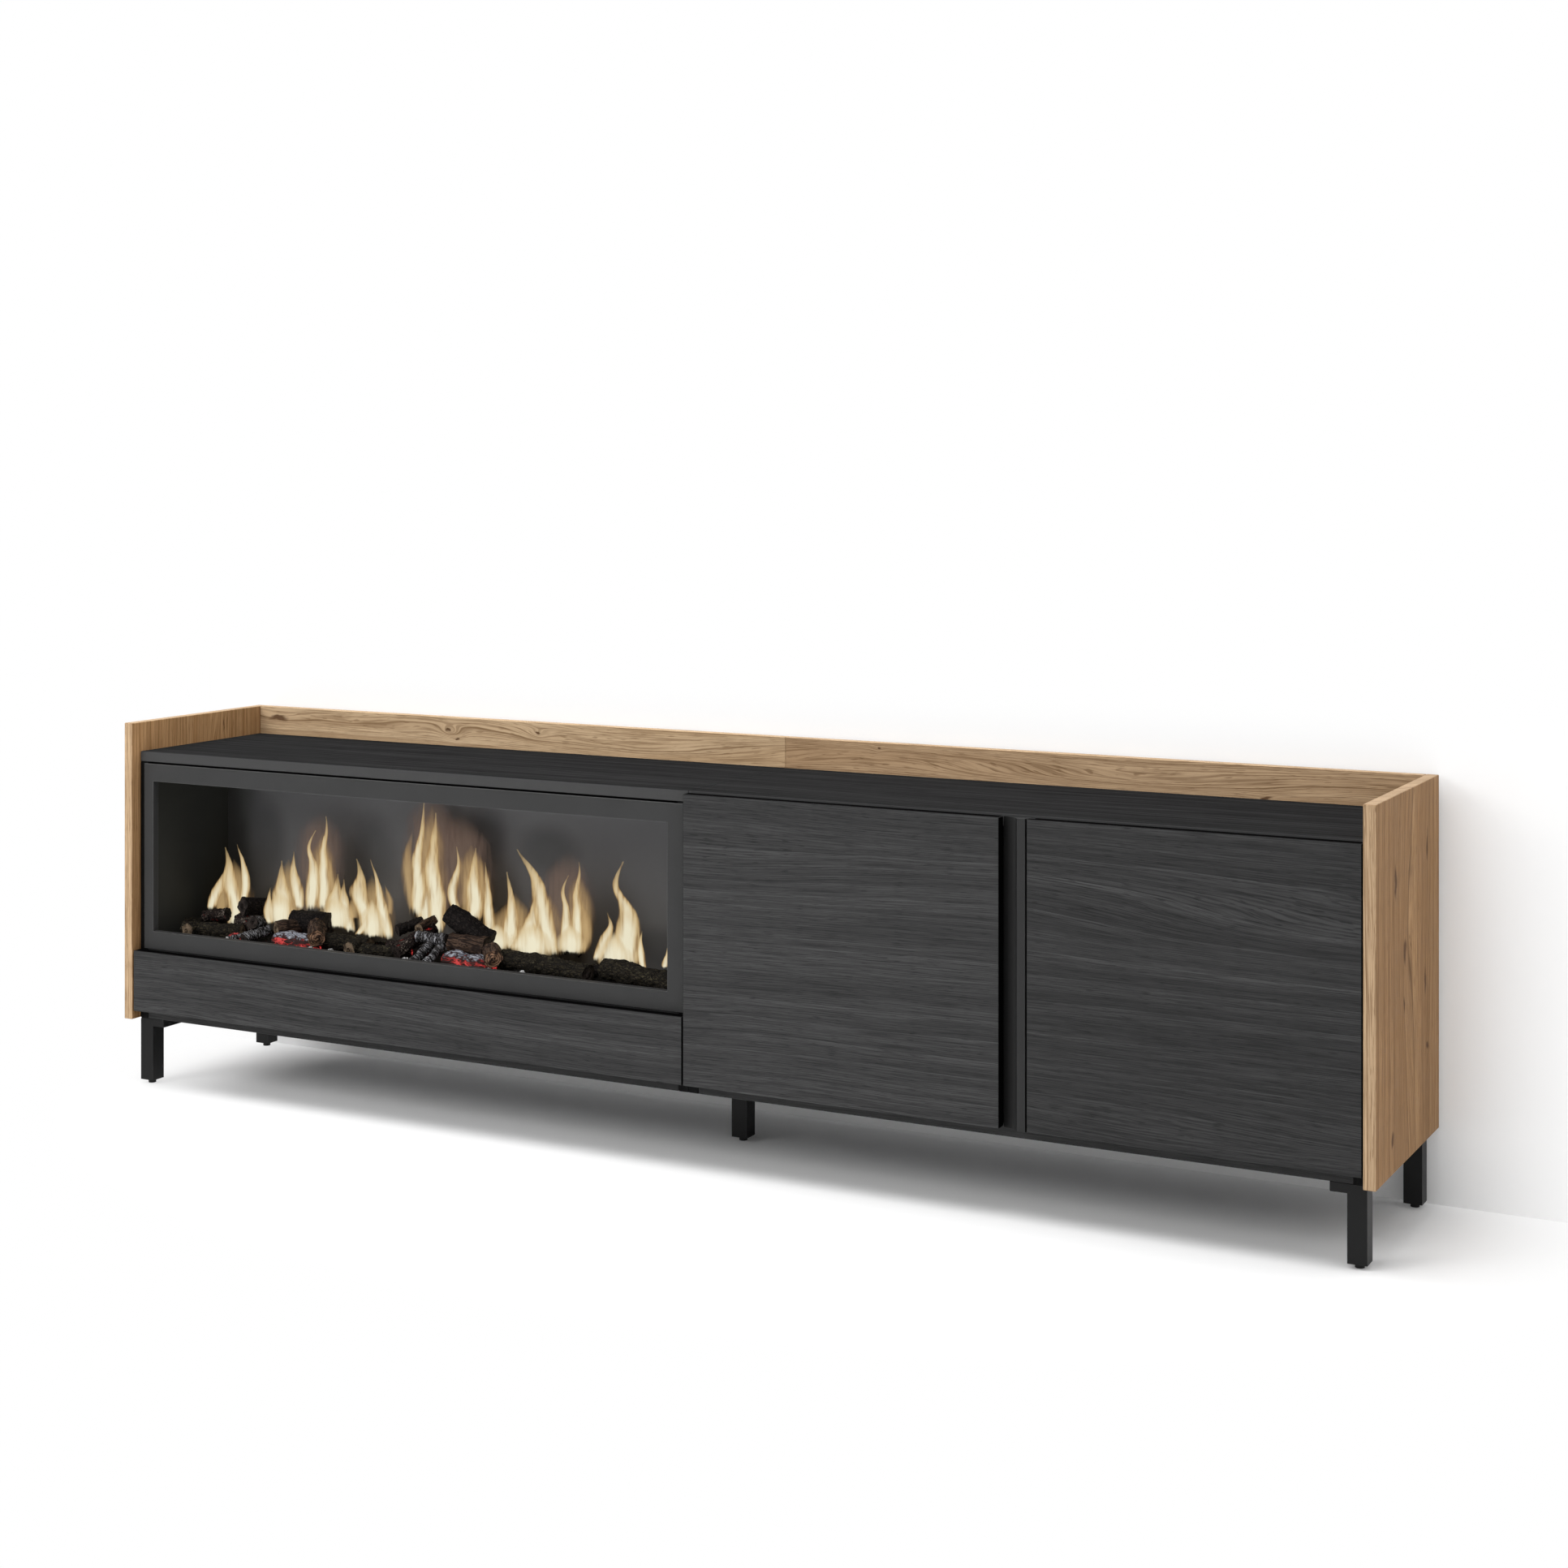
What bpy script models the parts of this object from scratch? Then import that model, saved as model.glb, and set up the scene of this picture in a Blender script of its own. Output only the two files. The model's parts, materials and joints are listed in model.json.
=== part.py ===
"""A low television stand with a built-in electric fire, modelled as its separate pieces.

Two cabinet modules stand side by side between oak-finish side panels, on five square steel legs.
The left module holds an electric fire over one long drawer. The right module has two doors on
concealed hinges, and the right door carries a scooped grip strip on its free edge.
Units are metres, +Z is up, the front faces -Y, and the origin is on the floor under the middle.
"""

import math

import bmesh
import bpy
from mathutils import Euler, Matrix, Vector

# Overall sizes of the stand
WIDTH = 2.000
DEPTH = 0.327
HEIGHT = 0.575
UNDERSIDE_HEIGHT = 0.105
UPSTAND_HEIGHT = 0.046

# Boards and the gaps between them
BOARD = 0.016
BACK_BOARD = 0.003
SEAT = 0.0003
RUNNING_CLEARANCE = 0.00008
EDGE_ROUND = 0.0007
OVERRUN = 0.002

# Where the two modules meet, and how far their front edges stand behind the oak
SEAM_X = 0.025
CARCASS_SETBACK = 0.019
SHELF_SETBACK = 0.022
SHELF_HEIGHT = 0.317

# Doors and drawer front
FRONT_SETBACK = 0.001
FRONT_THICKNESS = 0.016
OAK_GAP = 0.002
SEAM_HALF_GAP = 0.0012
MEETING_HALF_GAP = 0.001
FRONT_BOTTOM_LIFT = 0.0135
DOOR_TOP_DROP = 0.0025
DRAWER_FRONT_HEIGHT = 0.096

# Grip strip on the free edge of the right door
GRIP_SCOOP = 0.024
GRIP_SAGITTA = 0.0036
GRIP_LIP = 0.0025
GRIP_LAND = 0.0113
GRIP_GROOVE = 0.0022
GRIP_GROOVE_DEPTH = 0.006
GRIP_TONGUE = 0.008
GRIP_TONGUE_THICKNESS = 0.004
GRIP_ARC_STEPS = 8

# Concealed hinges: distances inward from the door's edge, and back from its face
HINGE_END_DISTANCE = 0.080
CUP_CENTRE = 0.0225
CUP_HOLE_RADIUS = 0.0175
CUP_HOLE_DEPTH = 0.012
CUP_DEPTH = 0.0113
CUP_WALL = 0.0009
CUP_FLANGE = 0.001
CUP_FLANGE_RADIUS = 0.019
CUP_WING_HALF_WIDTH = 0.0075
CUP_WING_HALF_LENGTH = 0.027
CUP_SIDES = 28
PIVOT_INWARD = 0.0200
PIVOT_BACK = 0.0088
PIVOT_PIN_RADIUS = 0.0011
LINK_REACH = 0.0150
LINK_EYE_RADIUS = 0.0022
LINK_CHEEK_INNER = 0.0035
LINK_CHEEK = 0.0020
LINK_WEB = 0.0020
NECK_HALF_WIDTH = 0.0030
NECK_BACK = 0.021
ARM_HALF_WIDTH = 0.0060
ARM_INWARD = 0.0245
ARM_BACK = 0.080
ARM_SHOULDER = 0.031
PLATE_START = 0.040
PLATE_END = 0.074
PLATE_HALF_HEIGHT = 0.024
PLATE_THICKNESS = 0.0018
EYE_STEPS = 8

# Legs and foot pads
LEG = 0.025
LEG_WALL = 0.0015
LEG_FRONT_INSET = 0.0204
LEG_BACK_INSET = 0.001
MIDDLE_LEG_BACK = 0.1665
SHOE = 0.047
SHOE_DEPTH = 0.0125
SHOE_WALL = 0.0025
PAD_HEIGHT = 0.006
PAD_RADIUS = 0.006
PAD_PLUG_HEIGHT = 0.012
PAD_SIDES = 20

# Drawer box and its ball runners
RUNNER_SPACE = 0.0127
DRAWER_SIDE = 0.012
DRAWER_BOX_LIFT = 0.007
DRAWER_BOX_HEIGHT = 0.064
DRAWER_BOX_BACK = 0.285
DRAWER_BASE = 0.003
DRAWER_BASE_LIFT = 0.008
DRAWER_GROOVE = 0.004
RUNNER_LENGTH = 0.250
RUNNER_FRONT = 0.024
RUNNER_HEIGHT = 0.035
RUNNER_RAIL_WIDTH = 0.010
RUNNER_SHEET = 0.0012
RUNNER_LIP = 0.003
SLIDER_INSERTION = 0.003

# Fire: front frame
FRAME_LEFT_REVEAL = 0.0104
FRAME_RIGHT_REVEAL = 0.0074
FRAME_TOP_GAP = 0.0025
FRAME_BOTTOM_GAP = 0.002
FRAME_THICKNESS = 0.0022
FRAME_LEFT_BORDER = 0.0187
FRAME_RIGHT_BORDER = 0.0256
FRAME_TOP_BORDER = 0.0277
FRAME_BOTTOM_BORDER = 0.028
FRAME_LIP_DEPTH = 0.009
FRAME_LIP = 0.0012
FRAME_EDGE = 0.0005

# Fire: housing, screen and log bed
FIRE_SHELF_OVERLAP = 0.010
HOUSING_SIDE_CLEARANCE = 0.003
HOUSING_TOP_CLEARANCE = 0.0045
HOUSING_REAR_GAP = 0.025
HOUSING_SHEET = 0.0012
SCREEN_TO_SPINDLE = 0.047
SCREEN_THICKNESS = 0.003
BED_FRONT = 0.032
BED_TO_SCREEN = 0.020
BED_THICKNESS = 0.013
BED_SIDE_CLEARANCE = 0.006
EMBER_ROOT_SHARE = 0.25
LOG_SIDES = 9
LOG_RINGS = 4
LOG_KNOBBLE_SHARE = 0.07

# Fire: flame spindle, its brackets, motor, light board and cable gland
SPINDLE_REAR_GAP = 0.046
SPINDLE_LIFT = 0.034
SPINDLE_RADIUS = 0.003
SPINDLE_SIDES = 24
FLAP_REACH = 0.014
FLAP_THICKNESS = 0.0008
FLAP_WIDTH = 0.030
FLAP_PITCH = 0.038
FLAP_TWIST_DEG = 60.0
BRACKET = 0.0015
BRACKET_WIDTH = 0.030
BRACKET_RISE = 0.012
BRACKET_INSET = 0.012
MOTOR_RADIUS = 0.022
MOTOR_LENGTH = 0.020
MOTOR_BORE_DEPTH = 0.009
MOTOR_SIDES = 24
LIGHT_BOARD_WIDTH = 0.018
LIGHT_BOARD_THICKNESS = 0.0016
GLAND_X = -0.12
GLAND_LIFT = 0.060
GLAND_RADIUS = 0.006
GLAND_FLANGE_RADIUS = 0.010
GLAND_FLANGE = 0.004
GLAND_NOSE = 0.010
GLAND_NUT = 0.004
GLAND_SIDES = 16
CABLE_HOLE_RADIUS = 0.025
CABLE_HOLE_SIDES = 24
DOOR_BAY_HOLE_X = 0.745
DOOR_BAY_HOLE_HEIGHT = 0.215

# Places worked out from the sizes above
INNER_X = WIDTH / 2 - BOARD
TOP_Z = HEIGHT - UPSTAND_HEIGHT
TOP_UNDERSIDE = TOP_Z - BOARD
FLOOR_Z = UNDERSIDE_HEIGHT + BOARD
CARCASS_BACK = DEPTH - BACK_BOARD
FRONT_Z = UNDERSIDE_HEIGHT + FRONT_BOTTOM_LIFT
DOOR_TOP_Z = TOP_Z - DOOR_TOP_DROP
DRAWER_FRONT_TOP = FRONT_Z + DRAWER_FRONT_HEIGHT
FRONT_BACK = FRONT_SETBACK + FRONT_THICKNESS
MEETING_X = (SEAM_X + INNER_X) / 2
FIRE_BAY_LEFT = -INNER_X + SEAT + BOARD
FIRE_BAY_RIGHT = SEAM_X - SEAT / 2 - BOARD
DOOR_BAY_LEFT = SEAM_X + SEAT / 2 + BOARD
DOOR_BAY_RIGHT = INNER_X - SEAT - BOARD
FIRE_SHELF_Z = DRAWER_FRONT_TOP - FIRE_SHELF_OVERLAP
FIRE_FLOOR_Z = FIRE_SHELF_Z + BOARD
FRAME_LEFT_X = -INNER_X + FRAME_LEFT_REVEAL
FRAME_RIGHT_X = SEAM_X - FRAME_RIGHT_REVEAL
FRAME_BOTTOM_Z = DRAWER_FRONT_TOP + FRAME_BOTTOM_GAP
FRAME_TOP_Z = TOP_UNDERSIDE - FRAME_TOP_GAP
OPENING_LEFT_X = FRAME_LEFT_X + FRAME_LEFT_BORDER
OPENING_RIGHT_X = FRAME_RIGHT_X - FRAME_RIGHT_BORDER
OPENING_BOTTOM_Z = FRAME_BOTTOM_Z + FRAME_BOTTOM_BORDER
OPENING_TOP_Z = FRAME_TOP_Z - FRAME_TOP_BORDER
HOUSING_LEFT_X = FIRE_BAY_LEFT + HOUSING_SIDE_CLEARANCE
HOUSING_RIGHT_X = FIRE_BAY_RIGHT - HOUSING_SIDE_CLEARANCE
HOUSING_Z = FIRE_FLOOR_Z + SEAT
HOUSING_TOP_Z = TOP_UNDERSIDE - HOUSING_TOP_CLEARANCE
HOUSING_BACK = CARCASS_BACK - HOUSING_REAR_GAP
SPINDLE_BACK = HOUSING_BACK - HOUSING_SHEET - SPINDLE_REAR_GAP
SCREEN_BACK = SPINDLE_BACK - SCREEN_TO_SPINDLE
BED_BACK = SCREEN_BACK - BED_TO_SCREEN
CHAMBER_LEFT_X = HOUSING_LEFT_X + HOUSING_SHEET
CHAMBER_RIGHT_X = HOUSING_RIGHT_X - HOUSING_SHEET
CHAMBER_Z = HOUSING_Z + HOUSING_SHEET
CHAMBER_TOP_Z = HOUSING_TOP_Z - HOUSING_SHEET
SPINDLE_Z = CHAMBER_Z + SPINDLE_LIFT

# The logs on the bed. Each row gives its middle across, back from the bed's front, and up from
# the bed's top, then its length and its radius, all as shares of the chamber's width, so that
# the whole heap keeps its shape. The last two numbers are its turn and its tilt in degrees
LOG_SHARES = (
    (0.091, 0.035, 0.010, 0.108, 0.0129, 10, 0),
    (0.034, 0.070, 0.009, 0.050, 0.0114, 40, 0),
    (0.066, 0.070, 0.027, 0.057, 0.0114, 5, -8),
    (0.138, 0.070, 0.020, 0.062, 0.0150, -20, 0),
    (0.138, 0.085, 0.046, 0.057, 0.0150, 75, 8),
    (0.166, 0.055, 0.026, 0.036, 0.0103, 100, 10),
    (0.184, 0.032, 0.012, 0.057, 0.0083, 75, -12),
    (0.166, 0.024, 0.008, 0.047, 0.0072, 60, -10),
    (0.232, 0.055, 0.024, 0.043, 0.0129, 60, 0),
    (0.256, 0.081, 0.029, 0.070, 0.0227, 5, 0),
    (0.301, 0.040, 0.024, 0.054, 0.0155, -50, 8),
    (0.355, 0.044, 0.012, 0.098, 0.0129, 0, 0),
    (0.432, 0.028, 0.008, 0.093, 0.0114, 8, 0),
    (0.463, 0.070, 0.044, 0.045, 0.0093, 60, -12),
    (0.491, 0.076, 0.048, 0.052, 0.0103, 95, -6),
    (0.488, 0.049, 0.028, 0.078, 0.0124, 70, -22),
    (0.527, 0.040, 0.036, 0.054, 0.0083, 5, 0),
    (0.522, 0.024, 0.017, 0.052, 0.0072, 78, -30),
    (0.545, 0.025, 0.017, 0.052, 0.0072, 84, -30),
    (0.553, 0.090, 0.048, 0.081, 0.0207, 5, 8),
    (0.589, 0.055, 0.027, 0.081, 0.0186, 8, 0),
    (0.639, 0.035, 0.023, 0.054, 0.0145, -55, 4),
    (0.737, 0.040, 0.015, 0.171, 0.0165, -3, 0),
    (0.799, 0.065, 0.011, 0.093, 0.0124, 2, 0),
    (0.897, 0.041, 0.012, 0.122, 0.0134, -3, 0),
)
# The ember heaps: middle across and back, half width, half depth and rise, as the same shares
EMBER_SHARES = (
    (0.272, 0.025, 0.041, 0.020, 0.023),
    (0.153, 0.028, 0.031, 0.020, 0.012),
    (0.607, 0.025, 0.039, 0.020, 0.023),
)


def front(distance):
    """The Y of a place that lies this far behind the oak panels' front edges."""
    return distance - DEPTH / 2


def clear_scene():
    for found in list(bpy.data.objects):
        bpy.data.objects.remove(found, do_unlink=True)


def finish(name, colour, roughness, metallic=0.0):
    material = bpy.data.materials.new(name)
    material.use_nodes = True
    shader = material.node_tree.nodes["Principled BSDF"]
    shader.inputs["Base Color"].default_value = (*colour, 1.0)
    shader.inputs["Roughness"].default_value = roughness
    shader.inputs["Metallic"].default_value = metallic
    material.diffuse_color = (*colour, 1.0)
    return material


def axis_empty(name, place):
    """An empty on a joint's axis, which carries the pieces that move about it."""
    empty = bpy.data.objects.new(name, None)
    empty.location = place
    bpy.context.scene.collection.objects.link(empty)
    return empty


def put(name, shape, material, origin, parent=None):
    """Makes an object from a bmesh in world coordinates, with its origin at the given place."""
    origin = Vector(origin)
    bmesh.ops.recalc_face_normals(shape, faces=shape.faces)
    bmesh.ops.translate(shape, verts=shape.verts, vec=-origin)
    mesh = bpy.data.meshes.new(name)
    shape.to_mesh(mesh)
    shape.free()
    mesh.materials.append(material)
    mesh.shade_smooth()
    mesh.set_sharp_from_angle(angle=math.radians(30))
    piece = bpy.data.objects.new(name, mesh)
    bpy.context.scene.collection.objects.link(piece)
    piece.parent = parent
    piece.location = origin - parent.location if parent else origin
    return piece


def middle(low, high):
    return (Vector(low) + Vector(high)) / 2


def box_shape(low, high):
    shape = bmesh.new()
    bmesh.ops.create_cube(shape, size=1)
    span = Vector(high) - Vector(low)
    bmesh.ops.transform(
        shape, verts=shape.verts, matrix=Matrix.Translation(middle(low, high)) @ Matrix.Diagonal((*span, 1))
    )
    return shape


def prism_shape(outline, axis, low, high):
    """Extrudes an outline along an axis. It is drawn in the other two axes, in X, Y, Z order."""
    place = {
        "X": lambda a, b, t: (t, a, b),
        "Y": lambda a, b, t: (a, t, b),
        "Z": lambda a, b, t: (a, b, t),
    }[axis]
    shape = bmesh.new()
    start = [shape.verts.new(place(a, b, low)) for a, b in outline]
    end = [shape.verts.new(place(a, b, high)) for a, b in outline]
    shape.faces.new(start)
    shape.faces.new(reversed(end))
    for i in range(len(outline)):
        after = (i + 1) % len(outline)
        shape.faces.new((start[i], end[i], end[after], start[after]))
    return shape


def arc(centre, radius, first_deg, last_deg, steps):
    points = []
    for i in range(steps + 1):
        turn = math.radians(first_deg + (last_deg - first_deg) * i / steps)
        points.append((centre[0] + radius * math.cos(turn), centre[1] + radius * math.sin(turn)))
    return points


def circle(centre, radius, sides):
    return arc(centre, radius, 0, 360, sides)[:-1]


def rectangle(left, right, bottom, top):
    return [(left, bottom), (right, bottom), (right, top), (left, top)]


def board(name, low, high, material, parent=None, edge=EDGE_ROUND):
    """A flat panel with softly broken edges."""
    piece = put(name, box_shape(low, high), material, middle(low, high), parent)
    rounding = piece.modifiers.new("broken_edges", "BEVEL")
    rounding.width = edge
    rounding.segments = 1
    rounding.limit_method = "ANGLE"
    return piece


def combine(piece, name, shape, operation):
    """Cuts a shape from a piece, or joins it on, with an exact Boolean."""
    tool = put(name, shape, piece.data.materials[0], piece.matrix_basis.translation, None)
    tool.parent = piece.parent
    if piece.parent:
        tool.data.transform(Matrix.Translation(-piece.parent.location))
    tool.hide_render = True
    tool.display_type = "WIRE"
    step = piece.modifiers.new(name, "BOOLEAN")
    step.object = tool
    step.operation = operation
    step.solver = "EXACT"
    return tool


def cut(piece, name, shape):
    combine(piece, name, shape, "DIFFERENCE")


def fuse(piece, name, shape):
    combine(piece, name, shape, "UNION")


def make_finishes():
    return {
        "oak": finish("oak_finish", (0.42, 0.27, 0.15), 0.55),
        "black_wood": finish("black_wood_finish", (0.058, 0.058, 0.060), 0.50),
        "thin_back": finish("thin_back_board", (0.10, 0.10, 0.10), 0.70),
        "drawer_board": finish("drawer_board", (0.09, 0.09, 0.09), 0.60),
        "black_steel": finish("black_steel", (0.045, 0.045, 0.048), 0.42, 0.6),
        "pad": finish("pad_plastic", (0.02, 0.02, 0.02), 0.60),
        "nickel": finish("nickel_steel", (0.62, 0.62, 0.60), 0.32, 1.0),
        "zinc": finish("zinc_steel", (0.55, 0.56, 0.58), 0.38, 1.0),
        "frame": finish("fire_frame_grey", (0.065, 0.066, 0.068), 0.48),
        "housing": finish("fire_housing_black", (0.03, 0.03, 0.03), 0.60, 0.4),
        "screen": finish("flame_screen_grey", (0.10, 0.10, 0.105), 0.60),
        "log": finish("log_resin", (0.12, 0.08, 0.05), 0.80),
        "mirror": finish("reflector_metal", (0.80, 0.80, 0.78), 0.15, 1.0),
        "motor": finish("motor_can", (0.50, 0.50, 0.52), 0.40, 0.9),
        "circuit": finish("light_board", (0.80, 0.80, 0.78), 0.50),
        "gland": finish("gland_plastic", (0.02, 0.02, 0.02), 0.50),
    }


def make_oak_panels(oak):
    for side, name in ((-1, "oak_side_left"), (1, "oak_side_right")):
        faces = sorted((side * INNER_X, side * WIDTH / 2))
        board(
            name,
            (faces[0], front(0), UNDERSIDE_HEIGHT),
            (faces[1], front(DEPTH), HEIGHT),
            oak,
        )
    near = front(DEPTH - BOARD)
    for name, left, right in (
        ("upstand_left", -INNER_X + SEAT, SEAM_X - SEAT / 2),
        ("upstand_right", SEAM_X + SEAT / 2, INNER_X - SEAT),
    ):
        board(name, (left, near, TOP_UNDERSIDE), (right, front(DEPTH), HEIGHT), oak)


def make_module(side, bay, left, right, finishes):
    """The boards of one module round its bay's two inner faces: top, sides, bottom and thin back."""
    wood = finishes["black_wood"]
    near = front(CARCASS_SETBACK)
    far = front(CARCASS_BACK) - SEAT
    outer_left = left - BOARD
    outer_right = right + BOARD
    top_far = front(DEPTH - BOARD) - SEAT
    board(f"top_{side}", (outer_left, near, TOP_UNDERSIDE), (outer_right, top_far, TOP_Z), wood)
    for end, low, high in (("left", outer_left, left), ("right", right, outer_right)):
        name = f"{bay}_side_{end}"
        board(name, (low, near, UNDERSIDE_HEIGHT), (high, far, TOP_UNDERSIDE - SEAT), wood)
    board(f"bottom_{side}", (left + SEAT, near, UNDERSIDE_HEIGHT), (right - SEAT, far, FLOOR_Z), wood)
    return board(
        f"back_{side}",
        (outer_left, front(CARCASS_BACK), UNDERSIDE_HEIGHT),
        (outer_right, front(DEPTH), TOP_UNDERSIDE - SEAT),
        finishes["thin_back"],
        edge=EDGE_ROUND / 2,
    )


def make_inner_boards(wood):
    near = front(CARCASS_SETBACK)
    far = front(CARCASS_BACK) - SEAT
    board(
        "fire_shelf",
        (FIRE_BAY_LEFT + SEAT, near, FIRE_SHELF_Z),
        (FIRE_BAY_RIGHT - SEAT, far, FIRE_FLOOR_Z),
        wood,
    )
    board(
        "divider",
        (MEETING_X - BOARD / 2, near, FLOOR_Z + SEAT),
        (MEETING_X + BOARD / 2, far, TOP_UNDERSIDE - SEAT),
        wood,
    )
    for name, left, right in (
        ("shelf_left", DOOR_BAY_LEFT, MEETING_X - BOARD / 2),
        ("shelf_right", MEETING_X + BOARD / 2, DOOR_BAY_RIGHT),
    ):
        board(
            name,
            (left + SEAT, near + SHELF_SETBACK, SHELF_HEIGHT - BOARD / 2),
            (right - SEAT, far, SHELF_HEIGHT + BOARD / 2),
            wood,
        )


def cut_cable_holes(back_left, back_right):
    """Round outlets in the thin backs: one behind the fire's gland, one behind the door bay."""
    low = front(CARCASS_BACK) - OVERRUN
    high = front(DEPTH) + OVERRUN
    for piece, centre in (
        (back_left, (GLAND_X, CHAMBER_Z + GLAND_LIFT)),
        (back_right, (DOOR_BAY_HOLE_X, DOOR_BAY_HOLE_HEIGHT)),
    ):
        outline = circle(centre, CABLE_HOLE_RADIUS, CABLE_HOLE_SIDES)
        cut(piece, f"{piece.name}_cable_hole", prism_shape(outline, "Y", low, high))


def upright_block(corner, width, inset, low, high):
    """A square block, inset all round from the square that has this corner and width."""
    x, y = corner
    return box_shape((x + inset, y + inset, low), (x + width - inset, y + width - inset, high))


def make_leg(name, corner, shoe_corner, finishes):
    """A square tube leg welded into a pressed shoe, and the pad plugged into its foot."""
    shoe_top = UNDERSIDE_HEIGHT - SEAT
    shoe_bottom = shoe_top - SHOE_DEPTH
    web_bottom = shoe_top - SHOE_WALL
    x, y = shoe_corner
    leg = board(
        f"leg_{name}",
        (x, y, shoe_bottom),
        (x + SHOE, y + SHOE, shoe_top),
        finishes["black_steel"],
    )
    pocket = upright_block(shoe_corner, SHOE, SHOE_WALL, shoe_bottom - OVERRUN, web_bottom)
    cut(leg, f"leg_{name}_pocket", pocket)
    tube = upright_block(corner, LEG, 0, PAD_HEIGHT, web_bottom + SEAT)
    fuse(leg, f"leg_{name}_tube", tube)
    bore = upright_block(corner, LEG, LEG_WALL, PAD_HEIGHT - OVERRUN, web_bottom)
    cut(leg, f"leg_{name}_bore", bore)
    centre = (corner[0] + LEG / 2, corner[1] + LEG / 2)
    pad = put(
        f"foot_{name}",
        prism_shape(circle(centre, PAD_RADIUS, PAD_SIDES), "Z", 0, PAD_HEIGHT + SEAT),
        finishes["pad"],
        (*centre, 0),
    )
    plug = upright_block(corner, LEG, LEG_WALL + SEAT, PAD_HEIGHT, PAD_HEIGHT + PAD_PLUG_HEIGHT)
    fuse(pad, f"foot_{name}_plug", plug)


def make_legs(finishes):
    """Four corner legs with their shoes turned inward, and one leg under the seam."""
    near = front(LEG_FRONT_INSET)
    far = front(DEPTH - LEG_BACK_INSET)
    for side, left, shoe_left in (
        ("left", -INNER_X, -INNER_X),
        ("right", INNER_X - LEG, INNER_X - SHOE),
    ):
        make_leg(f"front_{side}", (left, near), (shoe_left, near), finishes)
        make_leg(f"rear_{side}", (left, far - LEG), (shoe_left, far - SHOE), finishes)
    corner = (SEAM_X - LEG / 2, front(MIDDLE_LEG_BACK))
    slack = (SHOE - LEG) / 2
    make_leg("middle", corner, (corner[0] - slack, corner[1] - slack), finishes)


def runner_channel(face, side, rail):
    """The outline in X and Z of a runner's cabinet rail or drawer slider, beside a bay's side panel."""
    middle_z = FLOOR_Z + DRAWER_BOX_LIFT + DRAWER_BOX_HEIGHT / 2
    half = RUNNER_HEIGHT / 2
    if rail:
        web, open_edge = SEAT, RUNNER_RAIL_WIDTH
        points = [
            (web, -half),
            (open_edge, -half),
            (open_edge, -half + RUNNER_LIP),
            (open_edge - RUNNER_SHEET, -half + RUNNER_LIP),
            (open_edge - RUNNER_SHEET, -half + RUNNER_SHEET),
            (web + RUNNER_SHEET, -half + RUNNER_SHEET),
        ]
    else:
        half -= RUNNER_LIP + SEAT
        web, open_edge = RUNNER_SPACE - SEAT, SLIDER_INSERTION
        points = [
            (web, -half),
            (open_edge, -half),
            (open_edge, -half + RUNNER_SHEET),
            (web - RUNNER_SHEET, -half + RUNNER_SHEET),
        ]
    points += [(across, -up) for across, up in reversed(points)]
    return [(face + side * across, middle_z + up) for across, up in points]


def make_drawer(finishes):
    """The long drawer under the fire, with its front, box, base and ball runners."""
    left_face = FIRE_BAY_LEFT
    right_face = FIRE_BAY_RIGHT
    near = front(FRONT_BACK) + SEAT
    far = front(DRAWER_BOX_BACK)
    box_bottom = FLOOR_Z + DRAWER_BOX_LIFT
    box_top = box_bottom + DRAWER_BOX_HEIGHT
    base_z = box_bottom + DRAWER_BASE_LIFT
    carriage = axis_empty("drawer_travel", ((left_face + right_face) / 2, near, box_bottom))
    board(
        "drawer_front",
        (-INNER_X + OAK_GAP, front(FRONT_SETBACK), FRONT_Z),
        (SEAM_X - SEAM_HALF_GAP, front(FRONT_BACK), DRAWER_FRONT_TOP),
        finishes["black_wood"],
        carriage,
    )
    wood = finishes["drawer_board"]
    outer_left = left_face + RUNNER_SPACE
    outer_right = right_face - RUNNER_SPACE
    inner_left = outer_left + DRAWER_SIDE
    inner_right = outer_right - DRAWER_SIDE
    groove_left = inner_left - DRAWER_GROOVE
    groove_right = inner_right + DRAWER_GROOVE
    groove = box_shape(
        (groove_left - SEAT, near - OVERRUN, base_z - SEAT),
        (groove_right + SEAT, far + OVERRUN, base_z + DRAWER_BASE + SEAT),
    )
    for name, low, high in (
        ("drawer_side_left", outer_left, inner_left),
        ("drawer_side_right", inner_right, outer_right),
    ):
        side = board(name, (low, near, box_bottom), (high, far, box_top), wood, carriage)
        cut(side, f"{name}_groove", groove.copy())
    groove.free()
    board(
        "drawer_back",
        (inner_left + SEAT, far - DRAWER_SIDE, base_z + DRAWER_BASE + SEAT),
        (inner_right - SEAT, far, box_top),
        wood,
        carriage,
    )
    board(
        "drawer_base",
        (groove_left, near, base_z),
        (groove_right, far, base_z + DRAWER_BASE),
        finishes["thin_back"],
        carriage,
        EDGE_ROUND / 2,
    )
    start = front(RUNNER_FRONT)
    for name, face, side in (("left", left_face, 1), ("right", right_face, -1)):
        for kind, rail, parent in (("rail", True, None), ("slider", False, carriage)):
            outline = runner_channel(face, side, rail)
            put(
                f"runner_{kind}_{name}",
                prism_shape(outline, "Y", start, start + RUNNER_LENGTH),
                finishes["zinc"],
                (face, start, box_bottom),
                parent,
            )


def hinge_place(axis_x, side, inward, back):
    """A place given by its distance inward from the door's hinge edge and back from its face."""
    return (axis_x + side * inward, front(FRONT_SETBACK) + back)


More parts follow.
